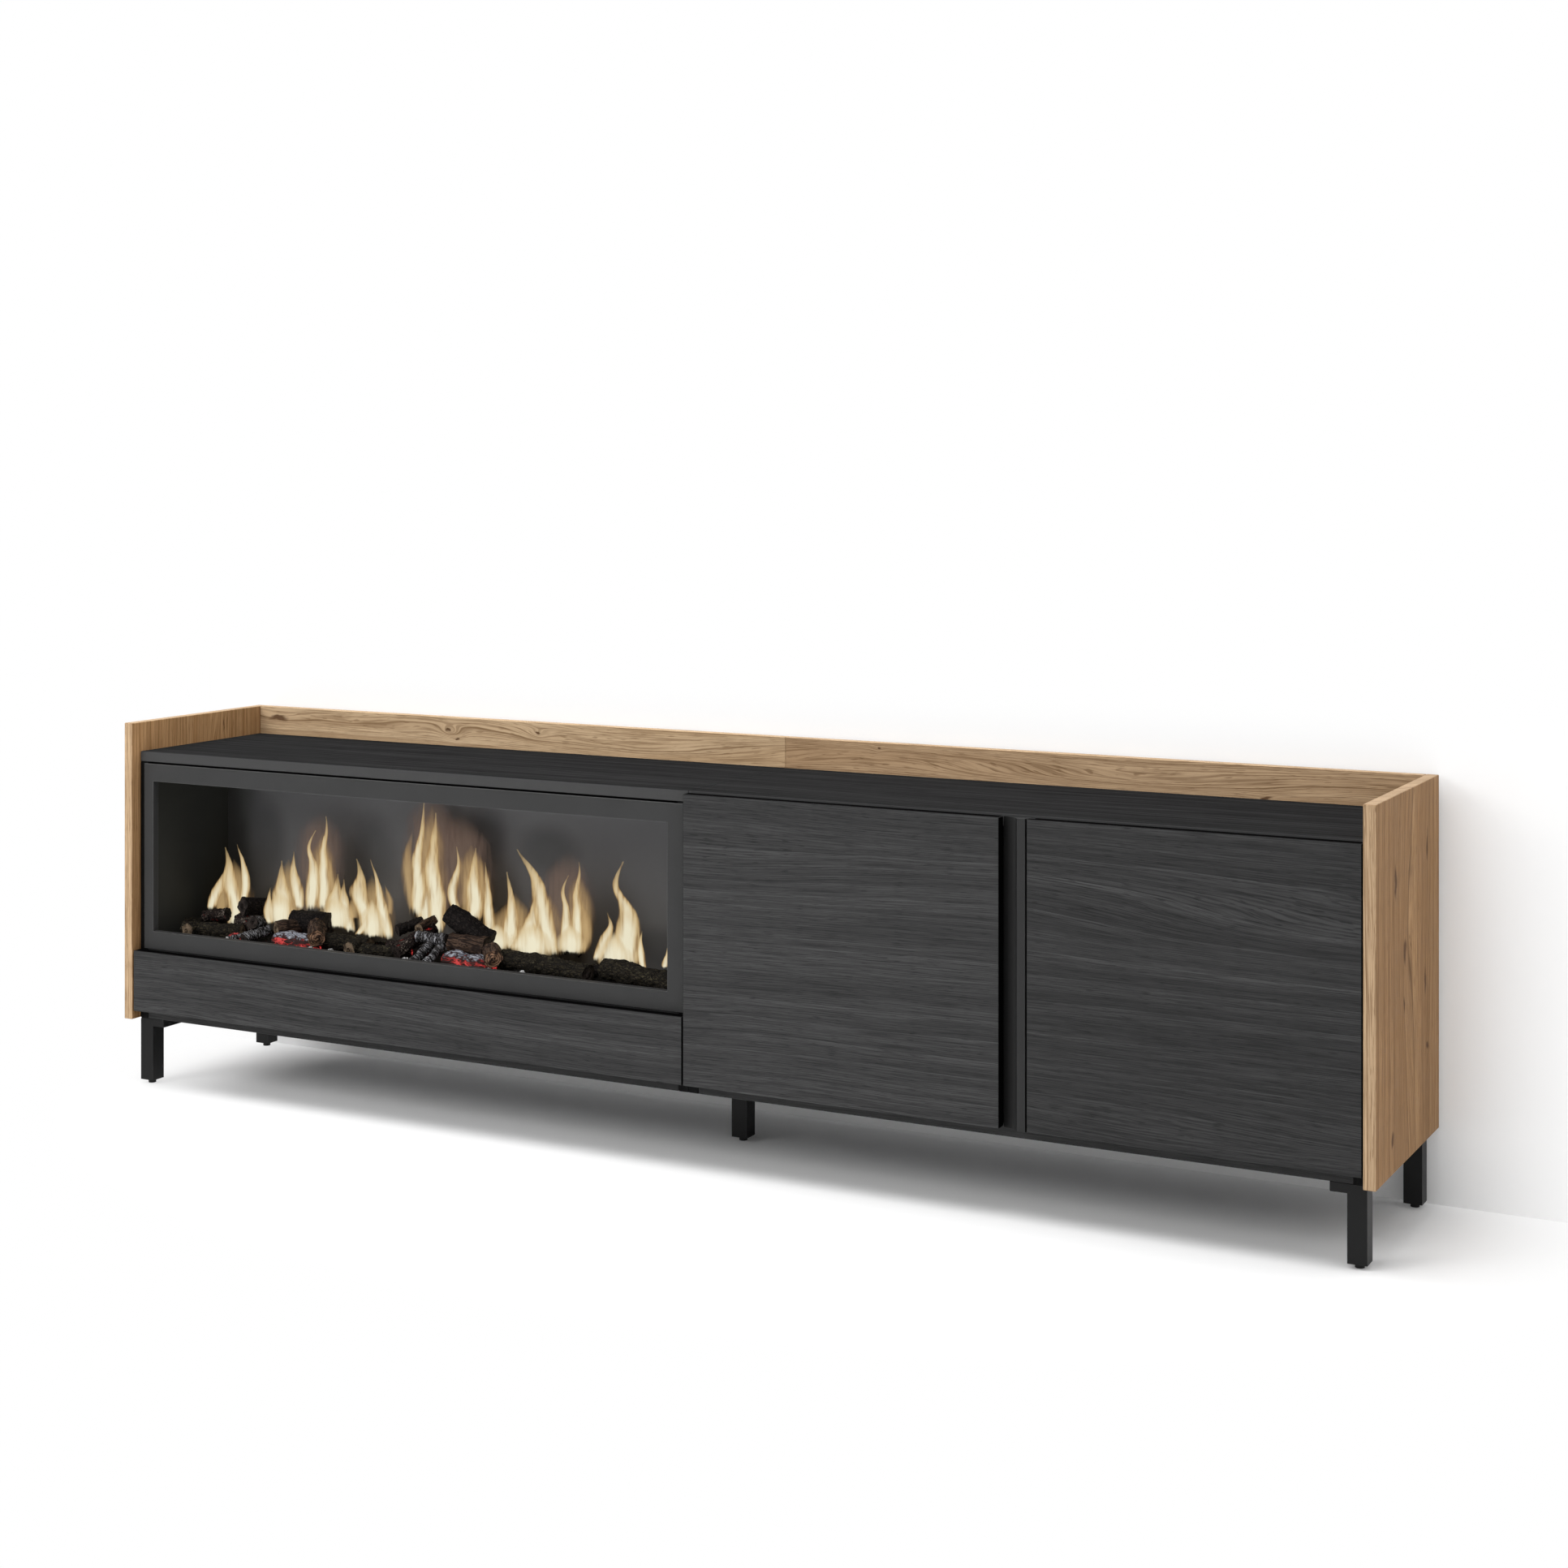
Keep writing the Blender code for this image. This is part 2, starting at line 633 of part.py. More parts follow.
def cup_flange_outline(centre):
    """A round flange with one wing above and one below, each with a rounded end."""
    half = CUP_WING_HALF_WIDTH
    wing_angle = math.degrees(math.acos(half / CUP_FLANGE_RADIUS))
    x, z = centre
    wing_z = CUP_WING_HALF_LENGTH - half
    outline = arc((x, z + wing_z), half, 0, 180, EYE_STEPS)
    outline += arc((x, z), CUP_FLANGE_RADIUS, 180 - wing_angle, 180 + wing_angle, EYE_STEPS)
    outline += arc((x, z - wing_z), half, 180, 360, EYE_STEPS)
    outline += arc((x, z), CUP_FLANGE_RADIUS, -wing_angle, wing_angle, EYE_STEPS)
    return outline


def make_hinge(name, axis_x, side, height, panel_inward, swing, link_swing, nickel):
    """One concealed hinge: the cup in the door, the arm on the bay's side, and the link between them."""
    centre = (axis_x + side * CUP_CENTRE, height)
    door_back = front(FRONT_BACK)
    flange_back = door_back + SEAT + CUP_FLANGE
    cup = put(
        f"hinge_cup_{name}",
        prism_shape(cup_flange_outline(centre), "Y", door_back + SEAT, flange_back),
        nickel,
        (centre[0], door_back, height),
        swing,
    )
    cup_radius = CUP_HOLE_RADIUS - SEAT
    cup_front = door_back - CUP_DEPTH
    can = circle(centre, cup_radius, CUP_SIDES)
    fuse(cup, f"hinge_cup_{name}_can", prism_shape(can, "Y", cup_front, flange_back - CUP_FLANGE / 2))
    hollow = circle(centre, cup_radius - CUP_WALL, CUP_SIDES)
    bottom = cup_front + CUP_WALL
    cut(cup, f"hinge_cup_{name}_hollow", prism_shape(hollow, "Y", bottom, flange_back + OVERRUN))

    def outline(points):
        return [hinge_place(axis_x, side, inward, back) for inward, back in points]

    pivot = (PIVOT_INWARD, PIVOT_BACK)
    pivot_x, pivot_y = hinge_place(axis_x, side, *pivot)
    tip = (PIVOT_INWARD + LINK_REACH, PIVOT_BACK)
    cheeks_outline = arc(tip, LINK_EYE_RADIUS, -90, 90, EYE_STEPS)
    cheeks_outline += arc(pivot, LINK_EYE_RADIUS, 90, 270, EYE_STEPS)
    cheek_outer = LINK_CHEEK_INNER + LINK_CHEEK
    link = put(
        f"hinge_link_{name}",
        prism_shape(outline(cheeks_outline), "Z", height - cheek_outer, height + cheek_outer),
        nickel,
        (pivot_x, pivot_y, height),
        link_swing,
    )
    jaw_end = PIVOT_INWARD + LINK_EYE_RADIUS + 2 * SEAT
    jaw = rectangle(
        PIVOT_INWARD - LINK_EYE_RADIUS - OVERRUN, jaw_end, PIVOT_BACK - LINK_EYE_RADIUS - OVERRUN, NECK_BACK
    )
    cut(
        link,
        f"hinge_link_{name}_jaw",
        prism_shape(outline(jaw), "Z", height - LINK_CHEEK_INNER, height + LINK_CHEEK_INNER),
    )
    relief = rectangle(
        jaw_end - OVERRUN, tip[0] + LINK_EYE_RADIUS + OVERRUN, PIVOT_BACK + LINK_WEB / 2, NECK_BACK
    )
    cut(
        link,
        f"hinge_link_{name}_relief",
        prism_shape(outline(relief), "Z", height - LINK_CHEEK_INNER, height + LINK_CHEEK_INNER),
    )
    bore = circle((pivot_x, pivot_y), PIVOT_PIN_RADIUS + RUNNING_CLEARANCE, EYE_STEPS * 2)
    cut(
        link,
        f"hinge_link_{name}_bore",
        prism_shape(bore, "Z", height - cheek_outer - OVERRUN, height + cheek_outer + OVERRUN),
    )

    seat = panel_inward + SEAT
    body = [
        (seat, ARM_BACK),
        (seat, ARM_SHOULDER),
        (PIVOT_INWARD - LINK_EYE_RADIUS, NECK_BACK),
        (PIVOT_INWARD + LINK_EYE_RADIUS, NECK_BACK),
        (ARM_INWARD, ARM_SHOULDER),
        (ARM_INWARD, ARM_BACK),
    ]
    arm = put(
        f"hinge_arm_{name}",
        prism_shape(outline(body), "Z", height - ARM_HALF_WIDTH, height + ARM_HALF_WIDTH),
        nickel,
        (pivot_x, pivot_y, height),
    )
    neck = arc(pivot, LINK_EYE_RADIUS, 180, 360, EYE_STEPS)
    neck += [
        (PIVOT_INWARD + LINK_EYE_RADIUS, NECK_BACK + OVERRUN),
        (PIVOT_INWARD - LINK_EYE_RADIUS, NECK_BACK + OVERRUN),
    ]
    fuse(
        arm,
        f"hinge_arm_{name}_neck",
        prism_shape(outline(neck), "Z", height - NECK_HALF_WIDTH, height + NECK_HALF_WIDTH),
    )
    pin = circle((pivot_x, pivot_y), PIVOT_PIN_RADIUS, EYE_STEPS * 2)
    fuse(arm, f"hinge_arm_{name}_pin", prism_shape(pin, "Z", height - cheek_outer, height + cheek_outer))
    plate = rectangle(seat, seat + PLATE_THICKNESS, PLATE_START, PLATE_END)
    fuse(
        arm,
        f"hinge_arm_{name}_plate",
        prism_shape(outline(plate), "Z", height - PLATE_HALF_HEIGHT, height + PLATE_HALF_HEIGHT),
    )


def make_door(side_name, axis_x, side, free_x, panel_x, finishes):
    """A door that swings about the upright edge of its face, with two concealed hinges."""
    face_y = front(FRONT_SETBACK)
    swing = axis_empty(f"{side_name}_door_axis", (axis_x, face_y, FRONT_Z))
    pivot_x, pivot_y = hinge_place(axis_x, side, PIVOT_INWARD, PIVOT_BACK)
    link_swing = axis_empty(f"{side_name}_link_axis", (pivot_x, pivot_y, FRONT_Z))
    left, right = sorted((axis_x, free_x))
    door = board(
        f"door_{side_name}",
        (left, face_y, FRONT_Z),
        (right, front(FRONT_BACK), DOOR_TOP_Z),
        finishes["black_wood"],
        swing,
    )
    panel_inward = abs(panel_x - axis_x)
    heights = (("lower", FRONT_Z + HINGE_END_DISTANCE), ("upper", DOOR_TOP_Z - HINGE_END_DISTANCE))
    for level, height in heights:
        hole = circle((axis_x + side * CUP_CENTRE, height), CUP_HOLE_RADIUS, CUP_SIDES)
        cut(
            door,
            f"door_{side_name}_{level}_hole",
            prism_shape(hole, "Y", front(FRONT_BACK) - CUP_HOLE_DEPTH, front(FRONT_BACK) + OVERRUN),
        )
        make_hinge(
            f"{side_name}_{level}",
            axis_x,
            side,
            height,
            panel_inward,
            swing,
            link_swing,
            finishes["nickel"],
        )
    return door, swing


def concave_arc(first, last, sagitta, steps):
    """An arc from one point to another that sinks below their chord by the sagitta, towards +b."""
    first, last = Vector(first), Vector(last)
    chord = last - first
    radius = (chord.length**2 / 4 + sagitta**2) / (2 * sagitta)
    normal = Vector((-chord.y, chord.x)).normalized()
    if normal.y > 0:
        normal.negate()
    centre = (first + last) / 2 + normal * (radius - sagitta)
    start = math.atan2(first.y - centre.y, first.x - centre.x)
    end = math.atan2(last.y - centre.y, last.x - centre.x)
    return arc(centre, radius, math.degrees(start), math.degrees(end), steps)


def make_grip(door, swing, left, board_x, wood):
    """The scooped strip on the right door's free edge, held by a tongue in the door's slot."""
    shoulder = board_x - SEAT
    land = left + GRIP_SCOOP
    groove = land + GRIP_LAND
    tongue_start = (GRIP_GROOVE_DEPTH + FRONT_THICKNESS - GRIP_TONGUE_THICKNESS) / 2
    tongue_end = tongue_start + GRIP_TONGUE_THICKNESS
    face = front(FRONT_SETBACK)
    outline = concave_arc((left, FRONT_THICKNESS - GRIP_LIP), (land, 0), GRIP_SAGITTA, GRIP_ARC_STEPS)
    outline += [
        (groove, 0),
        (groove, GRIP_GROOVE_DEPTH),
        (shoulder, GRIP_GROOVE_DEPTH),
        (shoulder, tongue_start),
        (shoulder + GRIP_TONGUE, tongue_start),
        (shoulder + GRIP_TONGUE, tongue_end),
        (shoulder, tongue_end),
        (shoulder, FRONT_THICKNESS),
        (left, FRONT_THICKNESS),
    ]
    outline = [(across, face + back) for across, back in outline]
    put("grip_strip", prism_shape(outline, "Z", FRONT_Z, DOOR_TOP_Z), wood, (left, face, FRONT_Z), swing)
    slot = box_shape(
        (board_x - OVERRUN, face + tongue_start - SEAT, FRONT_Z - OVERRUN),
        (shoulder + GRIP_TONGUE + SEAT, face + tongue_end + SEAT, DOOR_TOP_Z + OVERRUN),
    )
    cut(door, "door_right_slot", slot)


def make_doors(finishes):
    make_door(
        "left",
        SEAM_X + SEAM_HALF_GAP,
        1,
        MEETING_X - MEETING_HALF_GAP,
        DOOR_BAY_LEFT,
        finishes,
    )
    strip_x = MEETING_X + MEETING_HALF_GAP
    board_x = strip_x + GRIP_SCOOP + GRIP_LAND + GRIP_GROOVE
    door, swing = make_door("right", INNER_X - OAK_GAP, -1, board_x, DOOR_BAY_RIGHT, finishes)
    make_grip(door, swing, strip_x, board_x, finishes["black_wood"])


def make_fire_frame(material):
    """The flat frame round the fire's opening, with a lip folded back along the opening's edge."""
    back = front(CARCASS_SETBACK) - SEAT
    near = back - FRAME_THICKNESS
    frame = board(
        "fire_frame",
        (FRAME_LEFT_X, near, FRAME_BOTTOM_Z),
        (FRAME_RIGHT_X, back, FRAME_TOP_Z),
        material,
        edge=FRAME_EDGE,
    )
    lip = box_shape(
        (OPENING_LEFT_X - FRAME_LIP, near + FRAME_EDGE, OPENING_BOTTOM_Z - FRAME_LIP),
        (OPENING_RIGHT_X + FRAME_LIP, back + FRAME_LIP_DEPTH, OPENING_TOP_Z + FRAME_LIP),
    )
    fuse(frame, "fire_frame_lip", lip)
    opening = box_shape(
        (OPENING_LEFT_X, near - OVERRUN, OPENING_BOTTOM_Z),
        (OPENING_RIGHT_X, back + FRAME_LIP_DEPTH + OVERRUN, OPENING_TOP_Z),
    )
    cut(frame, "fire_frame_opening", opening)


def bracket_places():
    """The left face of each spindle bracket: one near the left wall, one beside the motor."""
    left = CHAMBER_LEFT_X + BRACKET_INSET
    right = CHAMBER_RIGHT_X - BRACKET_INSET - MOTOR_LENGTH - SEAT - BRACKET
    return left, right


def make_housing(material):
    """The folded steel box behind the frame, open in front, with the spindle's two brackets."""
    near = front(CARCASS_SETBACK)
    far = front(HOUSING_BACK)
    housing = board(
        "fire_housing",
        (HOUSING_LEFT_X, near, HOUSING_Z),
        (HOUSING_RIGHT_X, far, HOUSING_TOP_Z),
        material,
        edge=HOUSING_SHEET / 4,
    )
    chamber = box_shape(
        (CHAMBER_LEFT_X, near - OVERRUN, CHAMBER_Z), (CHAMBER_RIGHT_X, far - HOUSING_SHEET, CHAMBER_TOP_Z)
    )
    cut(housing, "fire_housing_chamber", chamber)
    centre = (front(SPINDLE_BACK), SPINDLE_Z)
    half = BRACKET_WIDTH / 2
    foot = CHAMBER_Z - HOUSING_SHEET / 2
    outline = rectangle(centre[0] - half, centre[0] + half, foot, SPINDLE_Z + BRACKET_RISE)
    bore = circle(centre, SPINDLE_RADIUS + RUNNING_CLEARANCE, SPINDLE_SIDES)
    for number, left in enumerate(bracket_places(), 1):
        fuse(housing, f"spindle_bracket_{number}", prism_shape(outline, "X", left, left + BRACKET))
        cut(
            housing,
            f"spindle_bracket_{number}_bore",
            prism_shape(bore, "X", left - OVERRUN / 2, left + BRACKET + OVERRUN / 2),
        )
    outlet = circle((GLAND_X, CHAMBER_Z + GLAND_LIFT), GLAND_RADIUS + SEAT, GLAND_SIDES)
    cut(
        housing, "fire_housing_outlet", prism_shape(outlet, "Y", far - HOUSING_SHEET - OVERRUN, far + OVERRUN)
    )


def make_screen(material):
    near = front(SCREEN_BACK)
    board(
        "flame_screen",
        (CHAMBER_LEFT_X + SEAT, near, CHAMBER_Z + SEAT),
        (CHAMBER_RIGHT_X - SEAT, near + SCREEN_THICKNESS, CHAMBER_TOP_Z - SEAT),
        material,
        edge=EDGE_ROUND / 2,
    )


def log_shape(centre, length, radius, turn_deg, tilt_deg, number):
    """A knobbly tapered log, with rings of points that wander a little from a circle."""
    rings = []
    for ring in range(LOG_RINGS + 1):
        along = ring / LOG_RINGS
        points = []
        for i in range(LOG_SIDES):
            turn = 2 * math.pi * i / LOG_SIDES
            wander = math.sin(turn * 2 + number * 1.7 + ring * 1.3) + math.sin(turn * 3 + number + ring * 2.1)
            reach = radius * (1 + LOG_KNOBBLE_SHARE * wander)
            points.append(((along - 1 / 2) * length, reach * math.cos(turn), reach * math.sin(turn)))
        rings.append(points)
    shape = bmesh.new()
    rows = [[shape.verts.new(point) for point in ring] for ring in rings]
    for first, second in zip(rows, rows[1:]):
        for i in range(LOG_SIDES):
            after = (i + 1) % LOG_SIDES
            shape.faces.new((first[i], first[after], second[after], second[i]))
    shape.faces.new(reversed(rows[0]))
    shape.faces.new(rows[-1])
    bmesh.ops.triangulate(shape, faces=shape.faces)
    lie = Euler((0, math.radians(tilt_deg), math.radians(turn_deg))).to_matrix().to_4x4()
    bmesh.ops.transform(shape, verts=shape.verts, matrix=Matrix.Translation(centre) @ lie)
    return shape


def mound_shape(centre, half_width, half_depth, rise):
    """A low heap of embers: a flattened ball, with a shallow root sunk in the bed."""
    shape = bmesh.new()
    bmesh.ops.create_uvsphere(shape, u_segments=12, v_segments=6, radius=1)
    for vert in shape.verts:
        if vert.co.z < 0:
            vert.co.z *= EMBER_ROOT_SHARE
    bmesh.ops.triangulate(shape, faces=shape.faces)
    lie = Matrix.Translation(centre) @ Matrix.Diagonal((half_width, half_depth, rise, 1))
    bmesh.ops.transform(shape, verts=shape.verts, matrix=lie)
    return shape


def make_log_bed(material):
    """The moulded bed of logs and embers: one piece, as such a bed is cast."""
    width = CHAMBER_RIGHT_X - CHAMBER_LEFT_X
    bed_top = CHAMBER_Z + SEAT + BED_THICKNESS
    bed = board(
        "log_bed",
        (CHAMBER_LEFT_X + BED_SIDE_CLEARANCE, front(BED_FRONT), CHAMBER_Z + SEAT),
        (CHAMBER_RIGHT_X - BED_SIDE_CLEARANCE, front(BED_BACK), bed_top),
        material,
    )

    def place(across, back, height=0):
        return (CHAMBER_LEFT_X + across * width, front(BED_FRONT + back * width), bed_top + height * width)

    for number, (across, back, height, length, radius, turn, tilt) in enumerate(LOG_SHARES, 1):
        log = log_shape(place(across, back, height), length * width, radius * width, turn, tilt, number)
        fuse(bed, f"log_{number}", log)
    for number, (across, back, reach, half_depth, rise) in enumerate(EMBER_SHARES, 1):
        mound = mound_shape(place(across, back), reach * width, half_depth * width, rise * width)
        fuse(bed, f"embers_{number}", mound)


def make_spindle(material):
    """The turning rod behind the screen, with reflector flaps set round it step by step."""
    left, right = bracket_places()
    centre = (front(SPINDLE_BACK), SPINDLE_Z)
    start = left - SPINDLE_RADIUS
    end = right + BRACKET + SEAT + MOTOR_BORE_DEPTH - SEAT
    axis = axis_empty("flame_spindle_axis", ((start + end) / 2, *centre))
    spindle = put(
        "flame_spindle",
        prism_shape(circle(centre, SPINDLE_RADIUS, SPINDLE_SIDES), "X", start, end),
        material,
        axis.location,
        axis,
    )
    room = right - left - BRACKET - 2 * OVERRUN
    count = int(room // FLAP_PITCH)
    first = left + BRACKET + OVERRUN + (room - (count - 1) * FLAP_PITCH - FLAP_WIDTH) / 2
    for i in range(count):
        low = first + i * FLAP_PITCH
        half = FLAP_THICKNESS / 2
        flap = box_shape((low, -FLAP_REACH, -half), (low + FLAP_WIDTH, FLAP_REACH, half))
        turn = Matrix.Rotation(math.radians(FLAP_TWIST_DEG * i), 4, "X")
        bmesh.ops.transform(flap, verts=flap.verts, matrix=Matrix.Translation((0, *centre)) @ turn)
        fuse(spindle, f"flap_{i + 1}", flap)


def make_motor(material):
    _, bracket = bracket_places()
    centre = (front(SPINDLE_BACK), SPINDLE_Z)
    start = bracket + BRACKET + SEAT
    motor = put(
        "spindle_motor",
        prism_shape(circle(centre, MOTOR_RADIUS, MOTOR_SIDES), "X", start, start + MOTOR_LENGTH),
        material,
        (start, *centre),
    )
    bore = circle(centre, SPINDLE_RADIUS + RUNNING_CLEARANCE, SPINDLE_SIDES)
    cut(motor, "spindle_motor_bore", prism_shape(bore, "X", start - OVERRUN, start + MOTOR_BORE_DEPTH + SEAT))


def make_light_board(material):
    left, right = bracket_places()
    near = front(SPINDLE_BACK) - LIGHT_BOARD_WIDTH / 2
    low = CHAMBER_Z + SEAT
    board(
        "light_board",
        (left + BRACKET + OVERRUN, near, low),
        (right - OVERRUN, near + LIGHT_BOARD_WIDTH, low + LIGHT_BOARD_THICKNESS),
        material,
        edge=LIGHT_BOARD_THICKNESS / 8,
    )


def make_gland(material):
    """The gland in the housing's back: nut inside, flange outside and a nose that a lead would pass."""
    centre = (GLAND_X, CHAMBER_Z + GLAND_LIFT)
    inside = front(HOUSING_BACK) - HOUSING_SHEET - SEAT
    outside = front(HOUSING_BACK) + SEAT
    gland = put(
        "cord_gland",
        prism_shape(circle(centre, GLAND_RADIUS, GLAND_SIDES), "Y", inside - GLAND_NUT, outside + GLAND_NOSE),
        material,
        (GLAND_X, outside, centre[1]),
    )
    wide = circle(centre, GLAND_FLANGE_RADIUS, GLAND_SIDES)
    fuse(gland, "cord_gland_flange", prism_shape(wide, "Y", outside, outside + GLAND_FLANGE))
    fuse(gland, "cord_gland_nut", prism_shape(wide, "Y", inside - GLAND_NUT / 2, inside))


def make_fire(finishes):
    make_fire_frame(finishes["frame"])
    make_housing(finishes["housing"])
    make_screen(finishes["screen"])
    make_log_bed(finishes["log"])
    make_spindle(finishes["mirror"])
    make_motor(finishes["motor"])
    make_light_board(finishes["circuit"])
    make_gland(finishes["gland"])


def main():
    clear_scene()
    finishes = make_finishes()
    make_oak_panels(finishes["oak"])
    back_left = make_module("left", "fire_bay", FIRE_BAY_LEFT, FIRE_BAY_RIGHT, finishes)
    back_right = make_module("right", "door_bay", DOOR_BAY_LEFT, DOOR_BAY_RIGHT, finishes)
    cut_cable_holes(back_left, back_right)
    make_inner_boards(finishes["black_wood"])
    make_legs(finishes)
    make_drawer(finishes)
    make_doors(finishes)
    make_fire(finishes)


main()
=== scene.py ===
# %% [markdown]
# # A television stand with a log fire
# This lesson dresses a finished CAD model for a photograph. The stand is two low cabinets side by
# side between oak-look panels, with an electric fire over a drawer on the left and two doors on the
# right. The shapes of boards, legs and hinges come from the CAD frame, so they are only given their
# finishes here. What CAD describes badly is built in this file: burnt logs, embers, flames, screws.

# %% Load the frame
import json
import math

import bmesh
import bpy
from mathutils import Euler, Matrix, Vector, noise

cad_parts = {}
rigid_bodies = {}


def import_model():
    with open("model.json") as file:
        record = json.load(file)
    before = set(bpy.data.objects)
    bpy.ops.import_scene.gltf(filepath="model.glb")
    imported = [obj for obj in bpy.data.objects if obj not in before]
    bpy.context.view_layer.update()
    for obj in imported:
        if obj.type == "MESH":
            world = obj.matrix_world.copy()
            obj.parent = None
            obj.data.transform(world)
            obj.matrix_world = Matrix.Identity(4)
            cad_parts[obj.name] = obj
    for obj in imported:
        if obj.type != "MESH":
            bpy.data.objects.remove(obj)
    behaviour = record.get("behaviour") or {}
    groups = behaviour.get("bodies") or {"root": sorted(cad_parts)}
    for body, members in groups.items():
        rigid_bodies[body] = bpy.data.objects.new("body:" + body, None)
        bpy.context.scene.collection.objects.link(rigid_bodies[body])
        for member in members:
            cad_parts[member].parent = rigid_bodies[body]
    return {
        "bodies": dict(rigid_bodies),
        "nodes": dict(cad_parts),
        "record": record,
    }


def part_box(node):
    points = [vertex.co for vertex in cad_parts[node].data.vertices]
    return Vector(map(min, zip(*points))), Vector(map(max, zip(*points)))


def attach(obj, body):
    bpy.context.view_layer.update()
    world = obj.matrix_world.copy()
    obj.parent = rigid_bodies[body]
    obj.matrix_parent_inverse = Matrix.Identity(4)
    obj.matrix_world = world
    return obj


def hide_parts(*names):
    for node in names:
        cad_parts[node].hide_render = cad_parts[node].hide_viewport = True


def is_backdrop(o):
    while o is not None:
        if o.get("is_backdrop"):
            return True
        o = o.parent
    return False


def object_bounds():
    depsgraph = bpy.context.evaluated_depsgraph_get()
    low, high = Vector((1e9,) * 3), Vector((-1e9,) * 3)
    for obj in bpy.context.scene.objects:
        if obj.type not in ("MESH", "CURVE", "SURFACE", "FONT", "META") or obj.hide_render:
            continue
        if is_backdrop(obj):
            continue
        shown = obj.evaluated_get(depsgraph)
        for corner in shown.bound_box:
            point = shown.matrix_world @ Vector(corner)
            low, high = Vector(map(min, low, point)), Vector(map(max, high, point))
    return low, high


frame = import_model()
kept = set(frame["nodes"].values()) | set(frame["bodies"].values())
for leftover in [thing for thing in bpy.data.objects if thing not in kept]:
    bpy.data.objects.remove(leftover)
cad_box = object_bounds()

# %% [markdown]
# ## The camera
# A product photographer keeps the camera level, so that upright edges stay upright, and slides the
# lens down to bring a low piece of furniture into the frame. Blender's camera does the same with
# Shift. The numbers were found by fitting the stand's corners to the photograph, so the camera
# stands at the right front and looks a little to the left.

# %% Camera
PHOTO_SIDE = 1932
FOCAL_LENGTH_IN_PIXELS = 3057.73
HORIZON_ROW = 563.565
SENSOR = 36
CAMERA_PLACE = (1.7719, -3.1645, 0.9973)
CAMERA_HEADING = math.radians(27.843)

scene = bpy.context.scene
lens = bpy.data.cameras.new("camera")
lens.sensor_width = SENSOR
lens.lens = SENSOR * FOCAL_LENGTH_IN_PIXELS / PHOTO_SIDE
lens.shift_y = (HORIZON_ROW - PHOTO_SIDE / 2) / PHOTO_SIDE
camera = bpy.data.objects.new("camera", lens)
camera.location = CAMERA_PLACE
camera.rotation_euler = (math.radians(90), 0, CAMERA_HEADING)
scene.collection.objects.link(camera)
scene.camera = camera
scene.view_settings.view_transform = "Standard"
print("lens", round(lens.lens, 2), "mm, shift", round(lens.shift_y, 4))

# %% [markdown]
# ## Signals: arithmetic with sockets
# Every finish below is a network of nodes, and wiring one takes many calls. A Signal is the value
# that comes out of a socket. Python lets a class say what + and * mean, so here they add Math
# nodes. A formula such as `rim * side` then reads like arithmetic, and builds its own network.

# %% Signals
MM = 0.001


class Signal:
    """What comes out of a socket. Arithmetic on it adds a Math node and gives a new signal."""

    def __init__(self, socket):
        self.socket, self.tree = socket, socket.id_data

    def math(self, operation, other=0.0, swapped=False):
        pair = (other, self) if swapped else (self, other)
        return node(self.tree, "Math", dict(enumerate(pair)), operation=operation)

    def __add__(self, other):
        return self.math("ADD", other)

    def __sub__(self, other):
        return self.math("SUBTRACT", other)

    def __rsub__(self, other):
        return self.math("SUBTRACT", other, swapped=True)

    def __mul__(self, other):
        return self.math("MULTIPLY", other)

    def __truediv__(self, other):
        return self.math("DIVIDE", other)

    def __rtruediv__(self, other):
        return self.math("DIVIDE", other, swapped=True)


def fill(socket, value):
    """Link a signal to a socket, or write a plain value into it. A tone gets its alpha here."""
    if isinstance(value, Signal):
        socket.id_data.links.new(value.socket, socket)
    else:
        socket.default_value = (*value, 1.0) if socket.type == "RGBA" else value


def add_node(tree, kind, inputs=None, **settings):
    made = tree.nodes.new("ShaderNode" + kind)
    for name, value in settings.items():
        setattr(made, name, value)
    for key, value in (inputs or {}).items():
        fill(made.inputs[key], value)
    return made


def node(tree, kind, inputs=None, out=0, **settings):
    """Add a node and give one of its outputs as a signal."""
    return Signal(add_node(tree, kind, inputs, **settings).outputs[out])


print("signals are ready")

# %% [markdown]
# ## Words for the finishes
# The same few moves come back in every finish: a soft threshold, a new range, a mix of two colours,
# a stretched place, a noise of a given grain size. Each gets a short name here.

# %% Node helpers
def soft_step(value, low, high):
    inputs = {"Value": value, "From Min": low, "From Max": high}
    return node(value.tree, "MapRange", inputs, interpolation_type="SMOOTHSTEP")


def rescale(value, low, high, start=0.0, end=1.0):
    ends = {"From Min": start, "From Max": end, "To Min": low, "To Max": high}
    return node(value.tree, "MapRange", {"Value": value, **ends})


def mix_colour(factor, first, second):
    return node(factor.tree, "Mix", {0: factor, 6: first, 7: second}, 2, data_type="RGBA")


def vector_math(operation, *vectors, out=0):
    inputs = dict(enumerate(vectors))
    return node(vectors[0].tree, "VectorMath", inputs, out, operation=operation)


def scaled(vector, factors):
    return vector_math("MULTIPLY", vector, factors)


def length_of(vector):
    return vector_math("LENGTH", vector, out="Value")


def axes(vector):
    return [Signal(part) for part in add_node(vector.tree, "SeparateXYZ", {0: vector}).outputs]


def noise_of(vector, size, detail=2.0, roughness=0.5, out="Fac"):
    inputs = {"Vector": vector, "Scale": 1 / size, "Detail": detail, "Roughness": roughness}
    return node(vector.tree, "TexNoise", inputs, out)


def object_place(tree):
    return node(tree, "TexCoord", out="Object")


print("helpers are ready")

